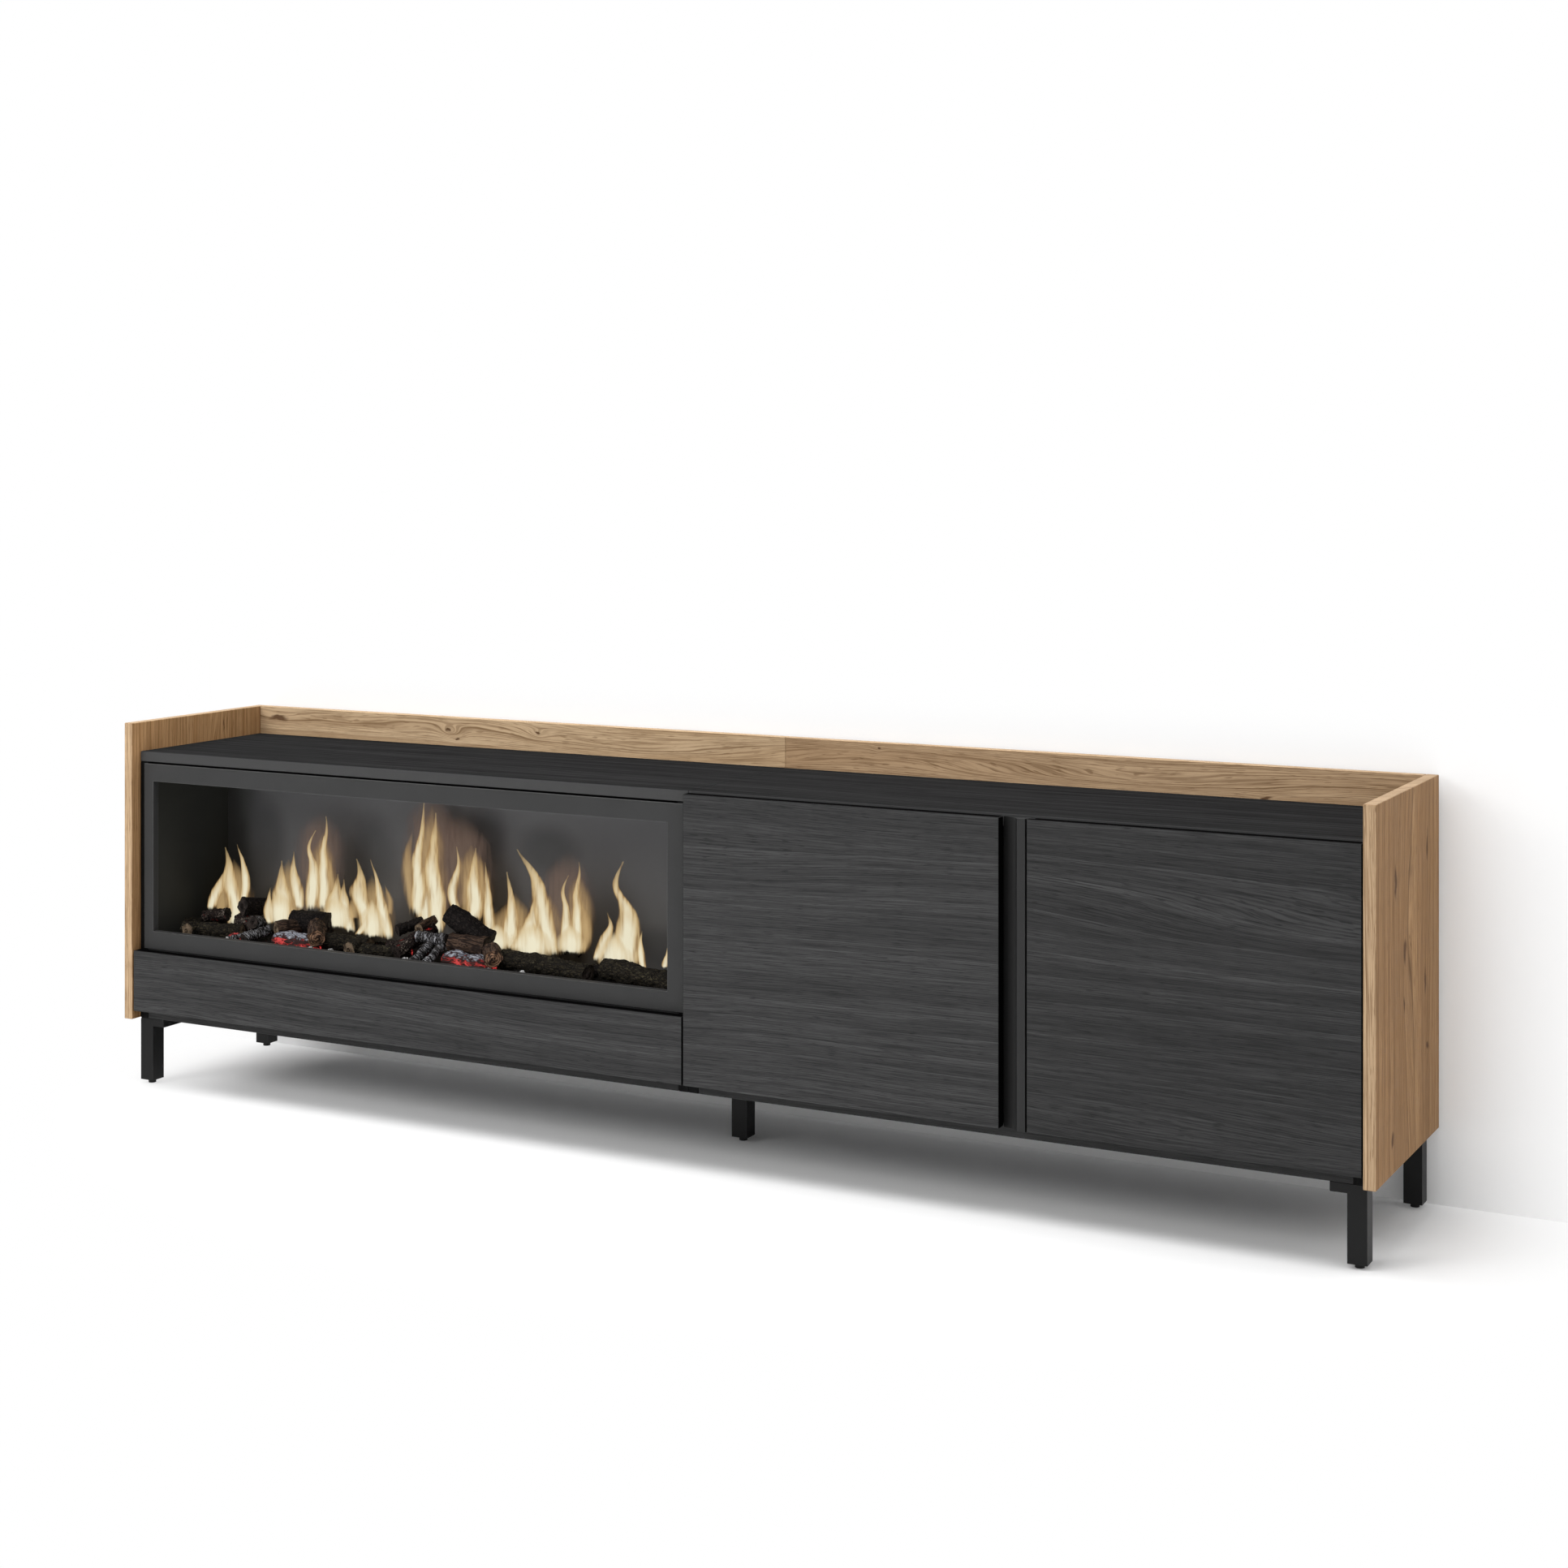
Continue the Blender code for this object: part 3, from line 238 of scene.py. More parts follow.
# %% [markdown]
# ## Groups and materials
# A node group is a finish's reusable part, such as wood grain. It is built once, by a recipe that
# gets the group's inputs as signals and returns its outputs by name. A material has a recipe too,
# which returns what goes into each socket of its shader. Relief is the one word added to the
# shader's own: a signal for the height, and how far it lifts the surface, which a Bump node draws.

# %% Group and material helpers
def new_group(name, inputs, recipe):
    """inputs gives each input's value at first. None makes a vector input."""
    group = bpy.data.node_groups.new(name, "ShaderNodeTree")
    for label, value in inputs.items():
        kind = "NodeSocketVector" if value is None else "NodeSocketFloat"
        socket = group.interface.new_socket(label, in_out="INPUT", socket_type=kind)
        if value is not None:
            socket.default_value = value
    taken = group.nodes.new("NodeGroupInput").outputs
    results = recipe(group, {label: Signal(taken[label]) for label in inputs})
    for label in results:
        group.interface.new_socket(label, in_out="OUTPUT", socket_type="NodeSocketFloat")
    given = group.nodes.new("NodeGroupOutput").inputs
    for label, value in results.items():
        fill(given[label], value)
    print("group", name, "gives", ", ".join(results))
    return group


def place_group(tree, group, **inputs):
    made = tree.nodes.new("ShaderNodeGroup")
    made.node_tree = group
    for label, value in inputs.items():
        fill(made.inputs[label.replace("_", " ")], value)
    return {socket.name: Signal(socket) for socket in made.outputs}


def new_material(name, recipe):
    """A material round one Principled shader, whose sockets get what the recipe returns."""
    material = bpy.data.materials.new(name)
    material.use_nodes = True
    tree = material.node_tree
    results = recipe(tree)
    if "Relief" in results:
        height, lift = results.pop("Relief")
        inputs = {"Height": height, "Distance": lift, "Strength": 1.0}
        results["Normal"] = node(tree, "Bump", inputs)
    for label, value in results.items():
        fill(tree.nodes["Principled BSDF"].inputs[label], value)
    return material


# %% [markdown]
# ## The room: floor, wall and white light
# The stand was photographed against a wall on a white floor. The floor keeps the shadow under the
# stand. Far away both surfaces fade to plain white for the camera and for reflections, which the
# Light Path node can tell from the rays that light the object.
# The wall is a sheet with an opening just behind the cabinets, and it is see-through from behind,
# so the back of the stand can be lit and looked at too.

# %% Room paint
ROOM_WHITE, PURE_WHITE = (0.95, 0.95, 0.95), (1, 1, 1)
FADE_CENTRE, FADE_START, FADE_END = 0.08, 0.86, 1.20
FLOOR_DEPTH_SHARE = 0.62
WALL_WHITE_FROM, WALL_WHITE_UP_TO = 0.50, 0.66


def seen_directly(tree):
    """1 for what the camera, a reflection or clear glass sees, 0 for light on its way."""
    path = add_node(tree, "LightPath").outputs
    lens_ray, glossy = Signal(path["Is Camera Ray"]), Signal(path["Is Glossy Ray"])
    through = Signal(path["Is Transmission Ray"])
    return lens_ray.math("MAXIMUM", glossy).math("MAXIMUM", through)


def room_material(name, one_sided):
    material = bpy.data.materials.new(name)
    material.use_nodes = True
    tree = material.node_tree
    tree.nodes.remove(tree.nodes["Principled BSDF"])
    from_centre = vector_math("SUBTRACT", object_place(tree), (FADE_CENTRE, 0, 0))
    depth_share = 0 if one_sided else 1 / FLOOR_DEPTH_SHARE
    reach = length_of(scaled(from_centre, (1, depth_share, 0)))
    above = soft_step(axes(object_place(tree))[2], WALL_WHITE_FROM, WALL_WHITE_UP_TO)
    far = soft_step(reach, FADE_START, FADE_END).math("MAXIMUM", above) * seen_directly(tree)
    paint = node(tree, "BsdfDiffuse", {"Color": ROOM_WHITE})
    white = node(tree, "Emission", {"Color": PURE_WHITE, "Strength": 1.0})
    surface = node(tree, "MixShader", {0: far, 1: paint, 2: white})
    if one_sided:
        behind = node(tree, "NewGeometry", out="Backfacing")
        shaders = {0: behind, 1: surface, 2: node(tree, "BsdfTransparent")}
        surface = node(tree, "MixShader", shaders)
    fill(tree.nodes["Material Output"].inputs["Surface"], surface)
    return material


# %% Floor and wall
ROOM_REACH, FLOOR_LEVEL = 9.0, -0.2 * MM
WALL_PLACE, WALL_OPENING = 0.1720, 0.03


def stage_sheet(name, corners_list, material):
    shape = bmesh.new()
    for corners in corners_list:
        shape.faces.new([shape.verts.new(corner) for corner in corners])
    mesh = bpy.data.meshes.new(name)
    shape.to_mesh(mesh)
    shape.free()
    made = bpy.data.objects.new(name, mesh)
    mesh.materials.append(material)
    scene.collection.objects.link(made)
    made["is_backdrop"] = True


def rectangle(left, right, near, far):
    return [(left, near), (right, near), (right, far), (left, far)]


low, high = cad_box
end, base = ROOM_REACH, FLOOR_LEVEL
floor_corners = [(x, y, base) for x, y in rectangle(-end, end, -end, end)]
stage_sheet("floor", [floor_corners], room_material("floor_white", False))
left, right = low.x + WALL_OPENING, high.x - WALL_OPENING
sill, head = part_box("bottom_left")[0].z, high.z - WALL_OPENING
round_the_hole = [
    rectangle(-end, left, base, end),
    rectangle(right, end, base, end),
    rectangle(left, right, base, sill),
    rectangle(left, right, head, end),
]
wall_corners = [[(x, WALL_PLACE, z) for x, z in corners] for corners in round_the_hole]
stage_sheet("wall", wall_corners, room_material("wall_white", True))
print("a floor and a wall of", len(wall_corners), "sheets")

# %% [markdown]
# ## The world
# A photographer's room throws soft light back from all sides. An even white world does that job,
# while what the camera sees of it stays pure white.

# %% World
WORLD_FILL = 0.65

world = bpy.data.worlds.new("white_room")
world.use_nodes = True
scene.world = world
tree = world.node_tree
soft_fill = tree.nodes["Background"]
fill(soft_fill.inputs["Color"], PURE_WHITE)
fill(soft_fill.inputs["Strength"], WORLD_FILL)
backdrop = node(tree, "Background", {"Color": PURE_WHITE, "Strength": 1.0})
shaders = {0: seen_directly(tree), 1: Signal(soft_fill.outputs[0]), 2: backdrop}
fill(tree.nodes["World Output"].inputs["Surface"], node(tree, "MixShader", shaders))
print("white world, fill", WORLD_FILL)

# %% [markdown]
# ## The lamps
# The shadow lies straight under the stand with a wide soft edge, so the main light is a large soft
# box overhead, a little in front. The right-hand faces are half as bright as the front ones, which
# a second, weaker box at the left front gives. Both are area lamps: a large area makes a soft edge.

# %% Lamps
SOFT_BOXES = (  # name, place, the point it looks at, size, watts
    ("soft_box_overhead", (-0.1, -0.45, 2.7), (0, -0.05, 0.2), (2.6, 1.4), 57),
    ("soft_box_left", (-2.0, -3.0, 2.3), (0, 0, 0.3), (1.6, 1.6), 58),
)
for name, place, aim, size, watts in SOFT_BOXES:
    lamp = bpy.data.lights.new(name, "AREA")
    lamp.shape = "RECTANGLE"
    lamp.size, lamp.size_y = size
    lamp.energy = watts
    box = bpy.data.objects.new(name, lamp)
    box.location = place
    box.rotation_euler = (Vector(aim) - Vector(place)).to_track_quat("-Z", "Y").to_euler()
    scene.collection.objects.link(box)
print(len(SOFT_BOXES), "soft boxes")

# %% [markdown]
# ## Wood grain, as one group for both decors
# Melamine boards are printed with a photograph of wood. What the eye reads as wood is growth rings
# cut lengthwise, which give long flame-like figures, fine fibres along the grain, and short pores.
# A ring number is made from the place across the grain, pushed about by slow noise that is long
# along the grain and short across it. Its fraction gives a saw-toothed line at each ring's end.
# Fibres, pores and broad patches are read at the pushed place too, so they bend with the rings.
# The group's Vector has its X along the grain, so each material turns its coordinates first.

# %% Wood figure group
SWAY_STRETCH, RIPPLE_STRETCH = 0.22, 0.11
RIPPLE, RIPPLE_SIZE = 5.5 * MM, 0.030
FIBRE_STRETCH, PORE_STRETCH, BROAD_STRETCH = 0.011, 0.045, 0.022
FIBRE_ROUGHNESS, BROAD_SIZE = 0.65, 0.020
PORE_FROM, PORE_FULL = 0.60, 0.70
LINE_START, LINE_PEAK = 0.72, 0.93
FAINTEST_SWELL = 0.2


def wood_figure_recipe(group, taken):
    def grainwise(vector, stretch, size, detail, roughness=0.5):
        return noise_of(scaled(vector, (stretch, 1, 1)), size, detail, roughness)

    place, fibre_width = taken["Vector"], taken["Fibre Width"]
    slow = grainwise(place, SWAY_STRETCH, taken["Figure Size"], 1.0) - 0.5
    quick = grainwise(place, RIPPLE_STRETCH, RIPPLE_SIZE, 2.0) - 0.5
    swing = slow * taken["Sway"] + quick * RIPPLE
    along, side, depth = axes(place)
    across = (side + depth) + (swing + taken["Push"])
    flow = node(group, "CombineXYZ", {0: along, 1: across})

    ring = across / taken["Ring Width"]
    share, whole = ring.math("FRACT"), ring.math("FLOOR")
    number = node(group, "TexWhiteNoise", {"W": whole}, "Value", noise_dimensions="1D")
    strength = number.math("POWER", 2.0)
    fall = soft_step(share, 1.0, LINE_PEAK)
    pores = grainwise(flow, PORE_STRETCH, fibre_width, 1.0)
    return {
        "Rings": soft_step(share, LINE_START, LINE_PEAK) * fall * strength,
        "Swell": soft_step(share, 0.0, LINE_PEAK) * fall * rescale(strength, FAINTEST_SWELL, 1.0),
        "Bands": number,
        "Broad": grainwise(flow, BROAD_STRETCH, BROAD_SIZE, 2.0),
        "Fibres": grainwise(flow, FIBRE_STRETCH, fibre_width, 3.0, FIBRE_ROUGHNESS),
        "Pores": soft_step(pores, PORE_FROM, PORE_FULL),
    }


WOOD_INPUTS = {"Vector": None, "Ring Width": 8 * MM, "Sway": 0.08, "Figure Size": 0.22}
WOOD_INPUTS.update({"Fibre Width": 1.1 * MM, "Push": 0.0})
wood_figure = new_group("wood_figure", WOOD_INPUTS, wood_figure_recipe)

# %% [markdown]
# ## Knots and cathedral figures
# A knot is where a branch left the trunk: a small dark streak, stretched along the grain, round
# which the rings bend. Where a board was cut through the side of the trunk the rings close into
# long pointed arches, called cathedrals. One group serves both. Its Mark is the dark streak, and
# its Push moves the rings: a little beside a knot, and far over the long reach of a cathedral.

# %% Knot group
KNOT_DRIFT, KNOT_DRIFT_SIZE = 0.016, 0.026
MARK_EDGE, MARK_FULL = 1.1, 0.45
PUSH_SPREAD = 0.35


def knot_recipe(group, taken):
    def reached(vector):
        return length_of(vector_math("DIVIDE", vector, taken["Reach"]))

    away = vector_math("SUBTRACT", taken["Vector"], taken["Place"])
    drift = noise_of(taken["Vector"], KNOT_DRIFT_SIZE, 3.0, out="Color")
    bend = scaled(vector_math("SUBTRACT", drift, (0.5, 0.5, 0.5)), (KNOT_DRIFT,) * 3)
    mark = soft_step(reached(vector_math("ADD", away, bend)), MARK_EDGE, MARK_FULL)
    spread = reached(away) * PUSH_SPREAD
    return {"Mark": mark, "Push": 1.0 / (spread * spread + 1.0)}


knot = new_group("knot", {"Vector": None, "Place": None, "Reach": None}, knot_recipe)

# %% [markdown]
# ## Painted edge highlights
# A real edge is never perfectly sharp, so it catches light, and here that light is painted on as a
# paler edge. The Bevel node gives the normal that a rounded edge would have. Where it differs from
# the real normal there is an edge, so the difference makes the mask of the painted highlight.

# %% Edge group
BEVEL_SAMPLES = 6
EDGE_FROM, EDGE_FULL = 0.999, 0.86
EDGE_FAINT, EDGE_STRONG = 0.55, 1.1


def edge_light_recipe(group, taken):
    rounded = node(group, "Bevel", {"Radius": taken["Width"]}, samples=BEVEL_SAMPLES)
    plain = node(group, "NewGeometry", out="Normal")
    alike = vector_math("DOT_PRODUCT", rounded, plain, out="Value")
    broken = noise_of(object_place(group), taken["Breakup Size"])
    edge = soft_step(alike, EDGE_FROM, EDGE_FULL)
    return {"Mask": edge * rescale(broken, EDGE_FAINT, EDGE_STRONG)}


edge_light = new_group("edge_light", {"Width": 1 * MM, "Breakup Size": 10 * MM}, edge_light_recipe)

# %% [markdown]
# ## Fine spatter
# Powder coat, satin paint and moulded plastic share one trait: a fine pebbled skin, with slow
# changes of sheen where hands and cloths have been. One group gives the pebbles and the clouds.

# %% Spatter group
def spatter_recipe(group, taken):
    pebbles = noise_of(taken["Vector"], taken["Size"], 2.0)
    return {"Pebbles": pebbles, "Clouds": noise_of(taken["Vector"], taken["Cloud Size"], 3.0)}


spatter = new_group("spatter", {"Vector": None, "Size": 1 * MM, "Cloud Size": 0.08}, spatter_recipe)

# %% [markdown]
# ## What both decors share
# Grain is drawn along X, so a board's coordinates are turned until X runs along its length, and
# then moved, as if it was cut from another part of the tree. Dark or pale marks are laid over the
# body colour one after another, as a printer lays inks. Gloss wanders a little on any real board.

# %% Wood helpers
TURNS = {"X": (0, 0, 0), "Z": (0, math.radians(90), 0)}
KNOT_PUSH = 5 * MM
FACING_FROM, FACING_FULL = 0.6, 0.8


def tone_of(values, lightness):
    """A tone made lighter or darker, by one number or by one for red, green and blue each."""
    shares = lightness if isinstance(lightness, tuple) else (lightness,) * 3
    return tuple(value * share for value, share in zip(values, shares))


def facing(tree, letters):
    """1 on the faces that look along one of these axes of the object, either way."""
    parts = dict(zip("XYZ", axes(node(tree, "TexCoord", out="Normal"))))
    most = 0.0
    for letter in letters:
        most = parts[letter].math("ABSOLUTE").math("MAXIMUM", most)
    return soft_step(most, FACING_FROM, FACING_FULL)


def wood_of(tree, grain, shift, knots, figures, **values):
    """The knots' dark mark, and the wood figure round them. A row with no amount is a knot."""
    mark, push = 0.0, 0.0
    for place, reach, *amount in (*knots, *figures):
        found = place_group(tree, knot, Vector=object_place(tree), Place=place, Reach=reach)
        if not amount:
            mark = found["Mark"].math("MAXIMUM", mark)
        push = found["Push"] * (amount[0] if amount else KNOT_PUSH) + push
    inputs = {"Vector": object_place(tree), "Rotation": TURNS[grain]}
    moved = vector_math("ADD", node(tree, "Mapping", inputs), shift)
    return mark, place_group(tree, wood_figure, Vector=moved, Push=push, **values)


def inked(body, marks, weights, tone):
    """Lay marks over a body colour one after another, each with its own weight."""
    for label, weight in weights.items():
        body = mix_colour(marks[label] * weight, body, tone)
    return body


def wandering(tree, size, low, high):
    """A gloss that changes slowly between two values."""
    return rescale(noise_of(object_place(tree), size), low, high)


print("wood helpers are ready")

# %% [markdown]
# ## Oak decor
# The oak is a warm mid brown with fine pores, soft pale and dark stripes, a few cathedral figures
# and small knots. The grain stands upright on the side panels and lies along the upstand. The sawn
# edges are covered with a paler strip of the same decor, so the mask of the surface's direction
# chooses a lighter tone there.

# %% Oak
OAK_DARK, OAK_MID, OAK_PALE = (0.150, 0.074, 0.029), (0.390, 0.225, 0.108), (0.540, 0.340, 0.180)
OAK_KNOT, OAK_EDGE = (0.095, 0.045, 0.021), (0.580, 0.420, 0.265)
OAK_EDGE_WEIGHT, OAK_KNOT_WEIGHT, OAK_BANDS = 0.86, 0.9, {"Bands": 0.16}
OAK_INKS = {"Swell": 0.16, "Rings": 0.85, "Fibres": 0.58, "Pores": 0.50}
OAK_SHEEN, OAK_LIFT, OAK_FIBRE_LIFT = 0.05, 0.12 * MM, 0.4
OAK_PATCHES, OAK_FIBRES, OAK_GLOSS = (0.22, 0.78), (0.58, 0.38), (0.05, 0.46, 0.60)


def oak(name, grain, shift, knots, figures, edge_axes, tint, edge_lightness=1.0, **values):
    dark, mid, pale = (tone_of(tone, tint) for tone in (OAK_DARK, OAK_MID, OAK_PALE))

    def recipe(tree):
        mark, wood = wood_of(tree, grain, shift, knots, figures, **values)
        height = wood["Fibres"] * OAK_FIBRE_LIFT - wood["Pores"]
        body = mix_colour(soft_step(wood["Broad"], *OAK_PATCHES), mid, pale)
        body = inked(body, wood, OAK_BANDS, dark)
        edge = facing(tree, edge_axes) * OAK_EDGE_WEIGHT
        body = mix_colour(edge, body, tone_of(OAK_EDGE, edge_lightness))
        wood["Fibres"] = soft_step(wood["Fibres"], *OAK_FIBRES)
        body = inked(body, wood, OAK_INKS, dark)
        return {
            "Base Color": mix_colour(mark * OAK_KNOT_WEIGHT, body, OAK_KNOT),
            "Roughness": wandering(tree, *OAK_GLOSS),
            "Specular IOR Level": OAK_SHEEN,
            "Relief": (height, OAK_LIFT),
        }

    return new_material(name, recipe)


# %% [markdown]
# ## The oak pieces
# The knots that show in the photograph get a row each, in millimetres: where they lie, and how far
# the dark streak reaches across the grain and along it. Other knots and the arches are made up. The
# upstand is lit from above, so its two halves get paler tints than the side panels, as painted
# light, and its left half is painted paler than its right, as painted light falling from the left.

# %% Oak pieces
UPSTAND_Y = 0.1475
SIDE_REACH, UPSTAND_REACH = 0.05, 0.03
SIDE_ARCH_REACH, SIDE_ARCH_PUSH = (9, 0.0100, 0.090), 0.036
SIDE_TINT = (0.83, 0.80, 0.74)
UPSTAND_PAINTED_LIGHT = {"left": (1.33, 1.57, 1.90), "right": (1.06, 1.18, 1.37)}


def side_knots(x, *rows):
    return [
        ((x, y * MM, z * MM), (SIDE_REACH, wide * MM, long * MM)) for y, z, wide, long in rows]


def upstand_knots(*rows):
    return [
        ((x * MM, UPSTAND_Y, z * MM), (long * MM, UPSTAND_REACH, wide * MM))
        for x, z, wide, long in rows]


def side_arch(x, y, z):
    return [((x, y, z), SIDE_ARCH_REACH, SIDE_ARCH_PUSH)]


RIGHT_KNOTS = side_knots(
    1.0, (-68, 468, 7.0, 26), (-20, 372, 7.2, 20), (-24, 306, 5.0, 12), (100, 229, 7.0, 5),
    (87, 315, 5.5, 24), (98, 490, 4.5, 26), (-83, 148, 6.5, 11))
LEFT_KNOTS = side_knots(
    -1.0, (40, 420, 4.0, 24), (-70, 250, 3.6, 20), (95, 190, 3.0, 14), (55, 552, 2.4, 16))
UPSTAND_KNOTS = upstand_knots(
    (180, 566, 2.4, 3), (768, 532, 3.0, 10), (-420, 558, 3.0, 6), (-593, 552, 3.2, 6),
    (-575, 541, 2.8, 6), (-945, 556, 6.0, 22))
UPSTAND_ARCHES = [
    ((-0.780, UPSTAND_Y, 0.548), (0.130, 9, 0.0080), 0.022),
    ((-0.250, UPSTAND_Y, 0.536), (0.130, 9, 0.0080), 0.025),
    ((0.190, UPSTAND_Y, 0.556), (0.100, 9, 0.0075), -0.025),
    ((0.560, UPSTAND_Y, 0.540), (0.120, 9, 0.0080), 0.030),
]
SIDE_RINGS = {"Ring_Width": 9 * MM, "Sway": 0.05}
UPSTAND_RINGS = {"Ring_Width": 3.8 * MM, "Sway": 0.07}
oaks = {
    # The right panel's edge strip is painted a tenth darker, as painted shade, the light coming
    # from the left.
    "oak_side_right": oak(
        "oak_right", "Z", (0.3, 0.0, 0.0), RIGHT_KNOTS, side_arch(1.0, -0.010, 0.420), "YZ",
        SIDE_TINT, 0.90, **SIDE_RINGS),
    "oak_side_left": oak(
        "oak_left", "Z", (4.1, 0.9, 0.2), LEFT_KNOTS, side_arch(-1.0, 0.020, 0.480), "YZ",
        SIDE_TINT, **SIDE_RINGS),
}
for side, tint in UPSTAND_PAINTED_LIGHT.items():
    oaks["upstand_" + side] = oak(
        "oak_upstand_" + side, "X", (1.7, 2.2, 0.0), UPSTAND_KNOTS, UPSTAND_ARCHES, "Z",
        tint, **UPSTAND_RINGS)
print(len(oaks), "oak finishes,", len(RIGHT_KNOTS), "knots on the right side")

# %% [markdown]
# ## Black wood decor
# The fronts and carcass are covered in a black decor with a low-key figure: the rings are a little
# paler than the ground, and fine streaks run along the boards. The sheen comes from the shader's
# specular level. The ends of the fronts are painted nearly black, as painted shade, which draws the
# dark lines between them, and the grip's scoop gets painted shade, darker the deeper it lies, down
# to black. Edges get a painted highlight.

# %% Black wood
BLACK_DARK, BLACK_MID = (0.0110, 0.0110, 0.0112), (0.0270, 0.0270, 0.0272)
BLACK_PALE = (0.0660, 0.0660, 0.0662)
PAINTED_SHADE_BLACK = tone_of(BLACK_DARK, 0.2)
PALER_INKS = {"Broad": 0.26, "Swell": 0.32, "Rings": 0.24}
DARKER_INKS = {"Fibres": 0.64, "Pores": 0.60}
BLACK_LIFT, FIBRE_LIFT, RING_LIFT = 0.10 * MM, 0.7, 0.5
EDGE_HIGHLIGHT_WIDTH, EDGE_HIGHLIGHT_WEIGHT = 0.7 * MM, 0.35
SCOOP_SHADE_DEEP, SCOOP_SHADE_SHALLOW = 0.90, 0.20
BLACK_PATCHES, BLACK_FIBRES, BLACK_GLOSS = (0.38, 0.68), (0.62, 0.36), (0.09, 0.44, 0.58)


def black_wood(name, grain, shift, lightness, ring_width=10, sway=0.09, sheen=0.0, figures=(),
               rim=None, painted_shade_ends=False, fibre_width=1.1, painted_scoop_shade=None):
    """Widths are in mm. rim is the lightness of faces that look to the front or back: painted light
    and shade.
    """
    dark, mid, pale = (tone_of(tone, lightness) for tone in (BLACK_DARK, BLACK_MID, BLACK_PALE))
    widths = {"Ring_Width": ring_width * MM, "Fibre_Width": fibre_width * MM}

    def recipe(tree):
        wood = wood_of(tree, grain, shift, (), figures, Sway=sway, **widths)[1]
        height = wood["Fibres"] * FIBRE_LIFT + wood["Rings"] * RING_LIFT
        wood["Broad"] = soft_step(wood["Broad"], *BLACK_PATCHES)
        wood["Fibres"] = soft_step(wood["Fibres"], *BLACK_FIBRES)
        body = inked(inked(mid, wood, PALER_INKS, pale), wood, DARKER_INKS, dark)
        # painted shade: faces that look sideways or up are painted nearly black
        if painted_shade_ends:
            body = mix_colour(facing(tree, "XZ"), body, PAINTED_SHADE_BLACK)
        # painted light and shade: faces that look to the front or back get a tone of their own
        if rim:
            body = mix_colour(facing(tree, "Y"), body, tone_of(BLACK_PALE, lightness * rim))
        # painted shade in the recess: the scoop goes darker the deeper it lies
        if painted_scoop_shade:
            across = axes(object_place(tree))[0]
            depth = rescale(across, SCOOP_SHADE_DEEP, SCOOP_SHADE_SHALLOW, *painted_scoop_shade)
            body = mix_colour(depth * across.math("LESS_THAN", painted_scoop_shade[1]), body, PAINTED_SHADE_BLACK)
        # painted highlight along the edges
        edge_highlight = place_group(tree, edge_light, Width=EDGE_HIGHLIGHT_WIDTH)["Mask"]
        return {
            "Base Color": mix_colour(edge_highlight * EDGE_HIGHLIGHT_WEIGHT, body, pale),
            "Roughness": wandering(tree, *BLACK_GLOSS),
            "Specular IOR Level": sheen,
            "Relief": (height, BLACK_LIFT),
        }

    return new_material(name, recipe)


# %% [markdown]
# ## The black pieces
# Each front is cut from another part of the print, so each gets its own shift. The top and the
# insides are painted darker, as painted shade, because lamps overhead would turn them grey, and the
# right door is painted darker than the left, as painted shade where the light falls off to the
# right.

# %% Black pieces
# Over this width from its deep side, the grip's scoop gets painted shade.
SCOOP_WIDTH = 24 * MM
scoop_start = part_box("grip_strip")[0].x
scoop_shade_ends = (scoop_start, scoop_start + SCOOP_WIDTH)
LEFT_DOOR_ARCHES = [((0.02, -0.16, 0.425), (0.140, 9, 0.0130), 0.028)]
RIGHT_DOOR_ARCHES = [
    ((0.97, -0.16, 0.402), (0.150, 9, 0.0170), 0.052),
    ((0.66, -0.16, 0.175), (0.110, 9, 0.0140), -0.030),
]
black_woods = {
    "drawer_front": black_wood(
        "black_drawer_front", "X", (0.0, 0.31, 0.0), 1.62, 10, 0.05, painted_shade_ends=True),
    "door_left": black_wood(
        "black_door_left", "X", (2.0, 0.0, 0.15), 1.62, 12, 0.06, 0.0, LEFT_DOOR_ARCHES,
        painted_shade_ends=True),
    # Painted darker than the left door, as painted shade where the light falls off to the right.
    "door_right": black_wood(
        "black_door_right", "X", (5.2, 1.1, 0.0), 1.42, 12, 0.06, 0.0, RIGHT_DOOR_ARCHES,
        painted_shade_ends=True),
    # The grip's body is painted darker, as painted shade in its scoop; its front keeps a paler
    # tone.
    "grip_strip": black_wood(
        "black_grip", "Z", (8.3, 0.2, 0.5), 0.62, sheen=0.04, rim=0.78, painted_scoop_shade=scoop_shade_ends),
    "top": black_wood(
        "black_top", "X", (3.1, 2.4, 0.4), 0.66, 16, 0.06, rim=1.27, fibre_width=4.2),
    "carcass": black_wood("black_carcass", "X", (7.0, 0.7, 0.9), 0.75, sheen=0.16),
    "upright": black_wood("black_upright", "Z", (8.3, 0.2, 0.5), 0.20, sheen=0.04),
}
print(len(black_woods), "black wood finishes")

# %% [markdown]
# ## Paint, metal and plastic
# These finishes differ only in tone, gloss and the size of their pebbled skin, so one function
# makes them all from the spatter and edge groups. Metals are brushed: their pebbles are drawn out
# long. Each slot has a row, which stops where only the usual values would follow.

# %% Plain finishes
BRUSHED_X, BRUSHED_Y, PRESSED_X = (0.03, 1, 1), (1, 0.03, 1), (0.3, 1, 1)
PEBBLE_DARK, PEBBLE_PALE = 0.72, 1.28
GLOSS_DRIFT = 0.07


def grey(value, warmth=1.0):
    return (value, value, value / warmth)


